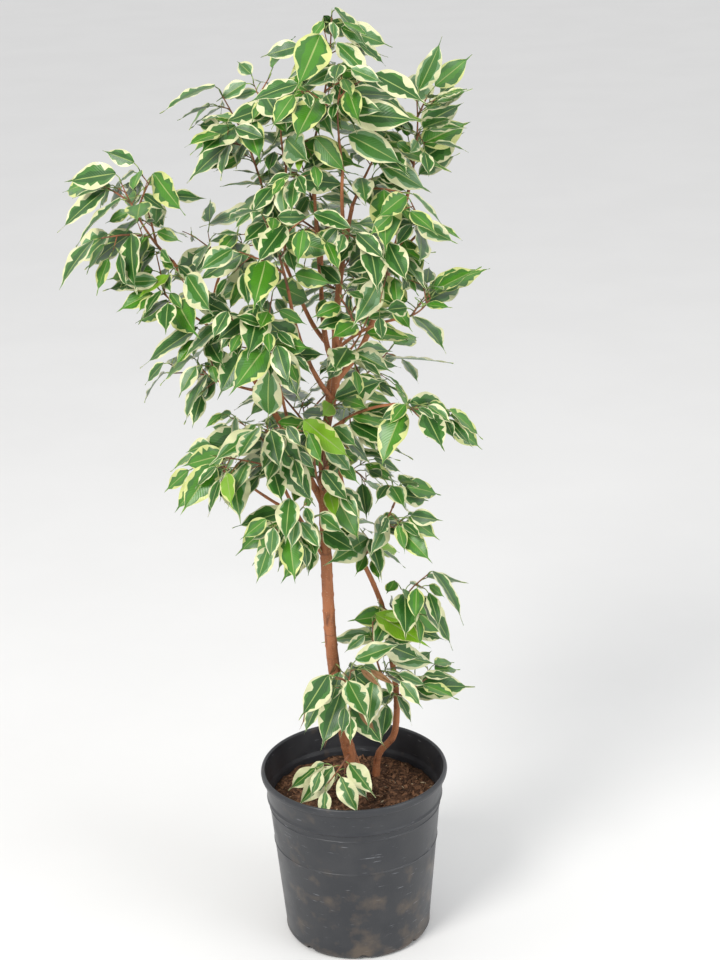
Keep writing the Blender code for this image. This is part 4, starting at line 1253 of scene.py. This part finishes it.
def skirted(shape, segments, depth):
    """Closes a round sheet with a wall below its edge and a flat underside."""
    points, faces = shape
    edge = len(points) - segments
    for rim in points[edge:]:
        points.append(Vector((rim.x, rim.y, depth)))
    for index in range(segments):
        after = (index + 1) % segments
        faces.append((edge + index, edge + segments + index, edge + segments + after, edge + after))
    faces.append(tuple(edge + segments + index for index in reversed(range(segments))))
    return points, faces


def scrap_shape(length, width, thickness, seed):
    """A broken scrap: a small ball squashed to size and knocked out of true."""
    rng = random.Random(seed)
    shape = bmesh.new()
    bmesh.ops.create_icosphere(shape, subdivisions=1, radius=0.5)
    for vert in shape.verts:
        jolt = 1 + rng.uniform(-SCRAP_JOLT, SCRAP_JOLT)
        vert.co = Vector((vert.co.x * length, vert.co.y * width, vert.co.z * thickness)) * jolt
    points = [vert.co.copy() for vert in shape.verts]
    faces = [tuple(vert.index for vert in face.verts) for face in shape.faces]
    shape.free()
    return points, faces


@cache
def strewing_tree():
    """Geometry nodes that strew an object over a surface and turn the result into one mesh."""
    tree = bpy.data.node_groups.new("Strew", "GeometryNodeTree")
    sockets = {
        "Geometry": "Geometry", "Scrap": "Object", "Density": "Float", "Smallest": "Float",
        "Largest": "Float", "Tilt": "Float", "Seed": "Int", "Material": "Material",
    }
    for title, kind in sockets.items():
        tree.interface.new_socket(title, in_out="INPUT", socket_type="NodeSocket" + kind)
    tree.interface.new_socket("Geometry", in_out="OUTPUT", socket_type="NodeSocketGeometry")
    given = tree.nodes.new("NodeGroupInput").outputs
    inputs = {"Mesh": given["Geometry"], "Density": given["Density"], "Seed": given["Seed"]}
    spread = add_node(tree, "GeometryNodeDistributePointsOnFaces", inputs)
    scrap = add_node(tree, "GeometryNodeObjectInfo", {"Object": given["Scrap"], "As Instance": True})
    less = sum_up(tree, "MULTIPLY", given["Tilt"], -1.0)
    low = add_node(tree, "ShaderNodeCombineXYZ", {"X": less, "Y": less})
    high = add_node(tree, "ShaderNodeCombineXYZ", {"X": given["Tilt"], "Y": given["Tilt"], "Z": math.tau})
    inputs = {0: low.outputs["Vector"], 1: high.outputs["Vector"], "Seed": given["Seed"]}
    turn = add_node(tree, "FunctionNodeRandomValue", data_type="FLOAT_VECTOR")
    size = add_node(tree, "FunctionNodeRandomValue", data_type="FLOAT")
    for key, value in inputs.items():
        feed(tree, turn.inputs[key], value)
    for key, value in {2: given["Smallest"], 3: given["Largest"], "Seed": given["Seed"]}.items():
        feed(tree, size.inputs[key], value)
    inputs = {
        "Points": spread.outputs["Points"], "Instance": scrap.outputs["Geometry"],
        "Rotation": turn.outputs[0], "Scale": size.outputs[1],
    }
    placed = add_node(tree, "GeometryNodeInstanceOnPoints", inputs)
    real = add_node(tree, "GeometryNodeRealizeInstances", {"Geometry": placed.outputs["Instances"]})
    inputs = {"Geometry": real.outputs["Geometry"], "Material": given["Material"]}
    painted = add_node(tree, "GeometryNodeSetMaterial", inputs)
    add_node(tree, "NodeGroupOutput", {"Geometry": painted.outputs["Geometry"]})
    return tree


def strew(kind, ground, scrap, material):
    """A piece of many scraps strewn over the ground object."""
    piece = bpy.data.objects.new(kind.name, ground.data.copy())
    bpy.context.scene.collection.objects.link(piece)
    modifier = piece.modifiers.new("Strew", "NODES")
    modifier.node_group = strewing_tree()
    values = {
        "Scrap": scrap, "Density": kind.density, "Smallest": kind.scales[0],
        "Largest": kind.scales[1], "Tilt": kind.tilt, "Seed": kind.seed, "Material": material,
    }
    for item in modifier.node_group.interface.items_tree:
        if item.in_out == "INPUT" and item.name in values:
            modifier[item.identifier] = values[item.name]
    bake_modifiers(piece)
    piece.data.name = kind.name
    piece.data.materials.clear()
    piece.data.materials.append(material)
    if not piece.data.polygons:
        raise RuntimeError(kind.name + " came out empty")
    settle(piece, "potting_mix")


def build_soil(settings):
    """The lumpy soil, and bark chips, crumbs and pale scraps strewn over it."""
    sheet = soil_sheet(settings.relief, SOIL_RINGS, SOIL_SEGMENTS, soil_reach())
    shape = skirted(sheet, SOIL_SEGMENTS, SOIL_EDGE_HEIGHT - SOIL_SKIRT)
    material = soil_material(settings)
    settle(mesh_piece("soil_bed", *shape, material), "potting_mix", "soil")
    sheet = soil_sheet(settings.relief, STREWN_RINGS, STREWN_SEGMENTS, soil_reach() - STREWN_MARGIN)
    ground = mesh_piece("soil_ground", *sheet, material)
    finishes = {
        "brown": scrap_material("bark chips", settings.chip),
        "dark": scrap_material("soil crumbs", [part * 0.6 for part in settings.chip]),
        "pale": scrap_material("pale scraps", settings.straw),
    }
    for kind in SCRAPS:
        material = finishes[kind.finish]
        scrap = mesh_piece(kind.name + "_scrap", *scrap_shape(*kind.size, kind.seed), material, False)
        strew(kind, ground, scrap, material)
        bpy.data.objects.remove(scrap, do_unlink=True)
    bpy.data.objects.remove(ground, do_unlink=True)


def woody(path, radii, sides, step, scar_spacing, rough, start_direction=None, foot=0.0):
    """A limb with its bark: ringed by old leaf scars, ridged along its grain, and lobed at its foot."""
    length = path_length(path)
    count = max(6, round(length / step))
    fine = smooth_path(path, count)
    thick = [stepped(radii, index / (count - 1)) for index in range(count)]
    points, faces = tube(fine, thick, sides, start_direction)
    for index, centre in enumerate(fine):
        travelled = length * index / (count - 1)
        scars = travelled / scar_spacing + SCAR_STRAY * noise.noise(centre * 40)
        to_scar = abs(scars % 1.0 - 0.5) * scar_spacing
        scar = math.exp(-(to_scar / SCAR_WIDTH) ** 2) * SCAR_HEIGHT
        lobes = math.exp(-travelled / LOBE_REACH) * foot
        for side in range(sides):
            corner = index * sides + side
            around = math.tau * side / sides
            grain = noise.noise(Vector((math.cos(around) * 3.0, math.sin(around) * 3.0, travelled * 60)))
            lump = noise.noise(points[corner] * 90)
            lobe = 0.5 + 0.5 * math.cos(LOBE_COUNT * around)
            swell = 1 + scar + rough * (0.6 * grain + 0.7 * lump) + lobes * lobe
            points[corner] = centre + (points[corner] - centre) * swell
    return points, faces


def build_stems(settings):
    """The trunk and the second stem, each with its bark, sunk a little in the soil."""
    material = bark_material(settings)
    for name, sides in STEM_FACETS.items():
        limb = grow_limbs()[name]
        path = [limb.path[0] - UP * STEM_SUNK] + limb.path[1:]
        shape = woody(
            path, limb.radii, sides, STEM_BARK_STEP, settings.scar_spacing, STEM_ROUGHNESS, UP,
            STEM_FOOT_LOBES[name],
        )
        settle(mesh_piece(name + "_bark", *shape, material), "bark", name)


def build_boughs(settings):
    """All the boughs as one piece, each growing out of the limb that carries it."""
    points, faces = [], []
    spacing = settings.scar_spacing * BOUGH_SCAR_SHARE
    names = [bough.name for bough in BOUGHS]
    for name in names:
        limb = grow_limbs()[name]
        shape = woody(limb.path, limb.radii, BOUGH_FACETS, BOUGH_BARK_STEP, spacing, BOUGH_ROUGHNESS)
        add_shape(points, faces, shape)
    settle(mesh_piece("boughs", points, faces, bpy.data.materials["fig bark"]), "bark", *names)


class Spray(NamedTuple):
    """What has grown of one mass: its twigs and leaves, and the finer ones."""

    mass: Mass
    twigs: list
    leaves: list
    fine_twigs: list
    fine_leaves: list


def grow_fine(mass, twigs, own, others, middle):
    """Short twigs with small leaves, wherever the mass still has room for them."""
    rng = random.Random(mass.seed + FINE_SEED)
    stem = twigs[0][0]
    fine_twigs, fine_leaves = [], []
    for path, radii, start_direction in twigs:
        length = path_length(path)
        for step in range(max(1, round(length / FINE_SPACING))):
            at = min((step + rng.uniform(*FINE_PLACE)) * FINE_SPACING / length, LAST_FINE_TWIG)
            point, forward = along(path, at)
            side = Quaternion(forward, rng.uniform(0, math.tau)) @ forward.orthogonal().normalized()
            heading = (forward * FINE_FORWARD + side + UP * FINE_LIFT).normalized()
            twig = grow_twig(mass, point, heading, rng.uniform(*FINE_TWIG_LENGTH), rng)
            if meets(body(*tube(twig, [FINE_TWIG_RADIUS * 2] * len(twig), TWIG_SIDES)), others):
                continue
            found = []
            for leaf_at, turn in FINE_LEAF_PLACES:
                leaf = lay_leaf(mass, twig, leaf_at, turn, stem, rng, own, others, middle, FINE_LEAF_LENGTH)
                if leaf:
                    found.append(leaf)
            if found:
                fine_twigs.append(twig)
                fine_leaves += found
    return fine_twigs, fine_leaves


@cache
def grow_sprays():
    """A spray for every mass: first all that the solids have, then the finer growth."""
    limbs = grow_limbs()
    others = surroundings(limbs)
    grown = []
    for mass in MASSES:
        twigs, leaves = grow_mass(mass, limbs, others)
        first = len(others)
        others += [body(*tube(path, radii, TWIG_SIDES, start)) for path, radii, start in twigs]
        others += [body(*leaf_solid(leaf)) for leaf in leaves]
        grown.append((mass, twigs, leaves, first, len(others)))
    trunk = limbs["trunk"].path
    middle = trunk[len(trunk) // 2]
    sprays = []
    for mass, twigs, leaves, first, last in grown:
        foreign = others[:first] + others[last:]
        fine_twigs, fine_leaves = grow_fine(mass, twigs, others[first:last], foreign, middle)
        others += [body(*leaf_solid(leaf)) for leaf in fine_leaves]
        sprays.append(Spray(mass, twigs, leaves, fine_twigs, fine_leaves))
    return sprays


def rounded_twig(path, radii, stations, sides, shrink=TWIG_ROUND):
    """A smooth round twig that thins towards its tip."""
    thick = []
    for index in range(stations):
        share = index / (stations - 1)
        thick.append(stepped(radii, share) * shrink * (1 - TWIG_THINNING * share))
    return tube(smooth_path(path, stations), thick, sides)


def build_twigs(settings):
    """The twigs of every mass as one piece, each stem sunk into what carries it."""
    points, faces = [], []
    for spray in grow_sprays():
        mass = spray.mass
        stem, radii, direction = spray.twigs[0]
        sunk = grow_limbs()[mass.parent].radius_at(mass.at) if mass.at < 1.0 else TWIG_SUNK
        stem = [stem[0] - direction * sunk] + stem[1:]
        add_shape(points, faces, rounded_twig(stem, radii, STEM_STATIONS, TWIG_FACETS))
        for path, radii, direction in spray.twigs[1:]:
            add_shape(points, faces, rounded_twig(path, radii, SHOOT_STATIONS, TWIG_FACETS))
        for path in spray.fine_twigs:
            radii = [FINE_TWIG_RADIUS] * len(path)
            add_shape(points, faces, rounded_twig(path, radii, FINE_TWIG_FACETS, FINE_TWIG_FACETS, 1.0))
    settle(mesh_piece("twigs", points, faces, shoot_material(settings)), "bark")


class Sheet:
    """The blades' faces of one finish, joined: points, faces, normals and the leaf's own map."""

    def __init__(self):
        self.points = []
        self.faces = []
        self.normals = []
        self.map = []

    def add_strip(self, grid, normals, column, places):
        """Adds the faces between a column of the grid and the next one."""
        first = len(self.points)
        for rows, store in ((grid, self.points), (normals, self.normals), (places, self.map)):
            for row in rows:
                store += row[column:column + 2]
        for row in range(len(grid) - 1):
            low = first + row * 2
            self.faces.append((low, low + 1, low + 3, low + 2))

    def add_round(self, shape):
        """Adds a small round shape, a stalk or a bud."""
        points = shape[0]
        centre = sum(points, Vector()) / len(points)
        add_shape(self.points, self.faces, shape)
        self.normals += [(point - centre).normalized() for point in points]
        self.map += [(0.5, 0.5)] * len(points)


def half_width(share):
    """Half the blade's width at a share of its length: egg-shaped, with a long drip tip."""
    egg = math.sin(math.pi * min(share / DRIP_TIP, 1.0) ** 0.82)
    drip = DRIP_WIDTH * (1 - share) / (1 - DRIP_TIP)
    return max(max(egg, 0.0) ** 0.80, min(drip, DRIP_WIDTH), 0.01)


def ragged_edge(rng, rows, base, raggedness):
    """Where the cream begins at each row across a half blade: mostly narrow, with deep bites."""
    line = []
    for row in range(rows):
        value = base + rng.uniform(*CREAM_STRAY)
        if rng.random() < raggedness:
            value -= rng.uniform(*CREAM_BITE)
        line.append(min(max(value, CREAM_LIMITS[0]), CREAM_LIMITS[1]))
    return line


def blade_grid(leaf, rows, tint, raggedness, rng):
    """The points of a blade, its bands' borders as columns, and each point's place on its map."""
    across = leaf.face.cross(leaf.heading)
    base = CREAM_BORDER[tint] + rng.uniform(-0.06, 0.05)
    left = ragged_edge(rng, rows + 1, base, raggedness)
    right = ragged_edge(rng, rows + 1, base, raggedness)
    inner = rng.uniform(*BAND_BORDER)
    waves = rng.uniform(*BLADE_WAVES)
    phase = rng.uniform(0, math.tau)
    twist = rng.uniform(*BLADE_TWIST)
    bend = rng.uniform(*BLADE_BEND)
    grid, places = [], []
    for row in range(rows + 1):
        share = row / rows
        share = min(share * (1 + TIP_CROWDING - TIP_CROWDING * share), 1.0)
        wide = half_width(share) * leaf.width / 2
        drop = leaf.arch * leaf.length * share * share
        spine = leaf.base + leaf.heading * (leaf.length * share) - leaf.face * drop
        spine += across * (bend * leaf.length * math.sin(share * math.pi / 2) ** 2)
        tip_over = Quaternion(leaf.heading, twist * share)
        inner_here = inner + rng.uniform(*BAND_STRAY)
        inner_left = min(inner_here, left[row] - NARROWEST_BAND)
        inner_right = min(inner_here, right[row] - NARROWEST_BAND)
        ends = (-1.0, -left[row], -inner_left, -RIB_SHARE, RIB_SHARE, inner_right, right[row], 1.0)
        line = []
        for end in ends:
            level = across * (wide * end)
            fold = FOLD_SHARE * abs(end) * math.sin(math.pi * min(share + 0.1, 1.0))
            wave = WAVE_HEIGHT * math.sin(share * waves * math.tau + phase + end) * end * end
            offset = level + leaf.face * (leaf.width * (LEAF_FOLD * fold + wave))
            if tint == "dry":
                offset = Quaternion(leaf.heading, DRY_CURL * end) @ (level * DRY_WIDTH)
            line.append(spine + tip_over @ offset)
        grid.append(line)
        places.append([(0.5 + end / 2, share) for end in ends])
    return grid, places


def grid_normals(grid, up):
    """A normal for each point of a grid, from its neighbours."""
    made = []
    last_row, last_column = len(grid) - 1, len(grid[0]) - 1
    for row in range(last_row + 1):
        line = []
        for column in range(last_column + 1):
            forward = grid[min(row + 1, last_row)][column] - grid[max(row - 1, 0)][column]
            aside = grid[row][min(column + 1, last_column)] - grid[row][max(column - 1, 0)]
            normal = aside.cross(forward)
            line.append(normal.normalized() if normal.length > 1e-12 else up)
        made.append(line)
    return made


def petiole_shape(leaf):
    """The leaf's stalk: a thin round tube that bends from the twig into the midrib."""
    knee = leaf.base - leaf.heading * (leaf.base - leaf.root).length * 0.2
    stations = [leaf.root, leaf.root.lerp(knee, 0.55), leaf.base + leaf.heading * PETIOLE_SUNK]
    radii = [PETIOLE_ROUND * share for share in PETIOLE_SHARES]
    return tube(smooth_path(stations, len(radii)), radii, 5)


def bud_shape(path, rng):
    """The pointed sheath at a twig's tip."""
    heading = (path[-1] - path[-2]).normalized()
    length = rng.uniform(*BUD_LENGTH)
    stations = [path[-1] + heading * reach for reach in (-0.001, length * 0.4, length)]
    return tube(stations, BUD_RADII, 5)


def lay_sheets(sprays, raggedness):
    """Every blade, stalk and bud of the plant, sorted by finish."""
    sheets = defaultdict(Sheet)
    for spray in sprays:
        rng = random.Random(spray.mass.seed + LEAF_SEED)
        weights = SPRAY_TINTS.get(spray.mass.name, COMMON_TINTS)
        for leaves, rows in ((spray.leaves, MAIN_STATIONS), (spray.fine_leaves, FINE_STATIONS)):
            for leaf in leaves:
                tint = rng.choices(list(weights), list(weights.values()))[0]
                centre, band, edge = TINTS[tint]
                rib = "leaf_dry" if tint == "dry" else "leaf_rib"
                grid, places = blade_grid(leaf, rows, tint, raggedness, rng)
                normals = grid_normals(grid, leaf.face)
                for column, name in enumerate((edge, band, centre, rib, centre, band, edge)):
                    sheets[name].add_strip(grid, normals, column, places)
                sheets["leaf_rib"].add_round(petiole_shape(leaf))
        for path, radii, direction in spray.twigs:
            sheets["leaf_rib"].add_round(bud_shape(path, rng))
    return sheets


def build_leaves(settings):
    """One piece for each finish of the leaves. The first stands for every mass's solid."""
    nodes = [mass.name for mass in MASSES]
    for name, sheet in lay_sheets(grow_sprays(), settings.raggedness).items():
        dull = name in ("leaf_dry", "leaf_rib")
        tone = getattr(settings, name.removeprefix("leaf_"))
        material = leaf_material(name, tone, 0.75 if dull else 0.36, 0.0 if dull else 0.25)
        piece = mesh_piece(name, sheet.points, sheet.faces, material)
        layer = piece.data.uv_layers.new(name="UVMap")
        for loop in piece.data.loops:
            layer.data[loop.index].uv = sheet.map[loop.vertex_index]
        piece.data.normals_split_custom_set_from_vertices([tuple(normal) for normal in sheet.normals])
        settle(piece, "foliage", *nodes)
        nodes = []


def lay_floor(settings):
    """The plain pale floor."""
    material, tree, shader, place = finish("pale floor", 0.9, specular=0.1)
    tone = mottled(tree, place, opaque(settings.floor), opaque(settings.floor, 0.985), 3.0)
    feed(tree, shader.inputs["Base Color"], tone)
    corners = [(x * FLOOR_REACH, y * FLOOR_REACH, 0.0) for x, y in ((-1, -1), (1, -1), (1, 1), (-1, 1))]
    mesh_piece("floor", corners, [(0, 1, 2, 3)], material, False)


def add_sky(settings):
    """Even white light from all round."""
    world = bpy.data.worlds.new("soft sky")
    world.use_nodes = True
    sky = world.node_tree.nodes["Background"]
    sky.inputs["Color"].default_value = (1.0, 1.0, 1.0, 1.0)
    sky.inputs["Strength"].default_value = settings.sky
    bpy.context.scene.world = world


def add_light(name, place, size, power, tone):
    """A round soft light that faces the crown."""
    light = bpy.data.lights.new(name, "AREA")
    light.shape = "DISK"
    light.size = size
    light.energy = power
    light.color = tone
    made = bpy.data.objects.new(name, light)
    made.location = place
    made.rotation_euler = (Vector(place) - Vector(LIGHT_TARGET)).to_track_quat("Z", "Y").to_euler()
    bpy.context.scene.collection.objects.link(made)


def add_camera():
    """The camera, turned by its yaw, then its pitch, then its roll."""
    scene = bpy.context.scene
    camera = bpy.data.cameras.new("camera")
    camera.sensor_fit = "VERTICAL"
    camera.sensor_height = SENSOR_HEIGHT
    camera.lens = SENSOR_HEIGHT * FOCAL_PIXELS / IMAGE_HEIGHT
    forward = Vector((
        math.sin(CAMERA_YAW) * math.cos(CAMERA_PITCH),
        math.cos(CAMERA_YAW) * math.cos(CAMERA_PITCH),
        -math.sin(CAMERA_PITCH),
    ))
    right = Vector((math.cos(CAMERA_YAW), -math.sin(CAMERA_YAW), 0.0))
    up = right.cross(forward)
    turned_right = right * math.cos(CAMERA_ROLL) + up * math.sin(CAMERA_ROLL)
    turned_up = up * math.cos(CAMERA_ROLL) - right * math.sin(CAMERA_ROLL)
    axes = Matrix((turned_right, turned_up, -forward)).transposed()
    scene.camera = bpy.data.objects.new("camera", camera)
    scene.camera.matrix_world = Matrix.Translation(CAMERA_PLACE) @ axes.to_4x4()
    scene.collection.objects.link(scene.camera)


def build_stage(settings):
    """The floor, soft light and the camera."""
    lay_floor(settings)
    add_sky(settings)
    add_light("key", KEY_PLACE, 1.4, settings.key_power, (1.0, 0.98, 0.94))
    add_light("fill", FILL_PLACE, 2.0, settings.fill_power, (0.95, 0.98, 1.0))
    bpy.context.scene.view_settings.view_transform = "Standard"
    add_camera()


class FIG_OT_pot(bpy.types.Operator):
    """Builds the pot"""

    bl_idname = "fig.pot"
    bl_label = "Pot"

    def execute(self, context):
        build_pot(context.scene.fig_pot)
        return {"FINISHED"}


class FIG_OT_soil(bpy.types.Operator):
    """Builds the potting mix and its chips"""

    bl_idname = "fig.soil"
    bl_label = "Soil"

    def execute(self, context):
        build_soil(context.scene.fig_soil)
        return {"FINISHED"}


class FIG_OT_stems(bpy.types.Operator):
    """Builds the trunk and the second stem"""

    bl_idname = "fig.stems"
    bl_label = "Stems"

    def execute(self, context):
        build_stems(context.scene.fig_wood)
        return {"FINISHED"}


class FIG_OT_boughs(bpy.types.Operator):
    """Builds the boughs, in the bark of the stems"""

    bl_idname = "fig.boughs"
    bl_label = "Boughs"

    def execute(self, context):
        build_boughs(context.scene.fig_wood)
        return {"FINISHED"}


class FIG_OT_twigs(bpy.types.Operator):
    """Grows the twigs of every mass"""

    bl_idname = "fig.twigs"
    bl_label = "Twigs"

    def execute(self, context):
        build_twigs(context.scene.fig_wood)
        return {"FINISHED"}


class FIG_OT_leaves(bpy.types.Operator):
    """Builds the leaves of every mass, with their stalks and the buds"""

    bl_idname = "fig.leaves"
    bl_label = "Leaves"

    def execute(self, context):
        build_leaves(context.scene.fig_leaves)
        return {"FINISHED"}


class FIG_OT_stage(bpy.types.Operator):
    """Sets the floor, the lights and the camera"""

    bl_idname = "fig.stage"
    bl_label = "Stage"

    def execute(self, context):
        build_stage(context.scene.fig_stage)
        return {"FINISHED"}


class FIG_PT_sidebar(bpy.types.Panel):
    """Lists the fig's operators and settings"""

    bl_idname = "FIG_PT_sidebar"
    bl_label = "Potted fig"
    bl_space_type = "VIEW_3D"
    bl_region_type = "UI"
    bl_category = "Fig"

    def draw(self, context):
        for operator in OPERATORS:
            self.layout.operator(operator.bl_idname)
        for name, kind in SETTINGS.items():
            settings = getattr(context.scene, name)
            for title in kind.__annotations__:
                self.layout.prop(settings, title)


OPERATORS = (
    FIG_OT_pot, FIG_OT_soil, FIG_OT_stems, FIG_OT_boughs, FIG_OT_twigs, FIG_OT_leaves, FIG_OT_stage,
)
SETTINGS = {
    "fig_pot": FigPotSettings,
    "fig_soil": FigSoilSettings,
    "fig_wood": FigWoodSettings,
    "fig_leaves": FigLeafSettings,
    "fig_stage": FigStageSettings,
}


def register():
    for name, kind in SETTINGS.items():
        bpy.utils.register_class(kind)
        setattr(bpy.types.Scene, name, PointerProperty(type=kind))
    for operator in OPERATORS:
        bpy.utils.register_class(operator)
    bpy.utils.register_class(FIG_PT_sidebar)


def unregister():
    bpy.utils.unregister_class(FIG_PT_sidebar)
    for operator in reversed(OPERATORS):
        bpy.utils.unregister_class(operator)
    for name, kind in reversed(SETTINGS.items()):
        delattr(bpy.types.Scene, name)
        bpy.utils.unregister_class(kind)


def main():
    register()
    bpy.ops.fig.pot()
    bpy.ops.fig.soil()
    bpy.ops.fig.stems()
    bpy.ops.fig.boughs()
    bpy.ops.fig.twigs()
    bpy.ops.fig.leaves()
    bpy.ops.fig.stage()


if __name__ == "__main__":
    main()
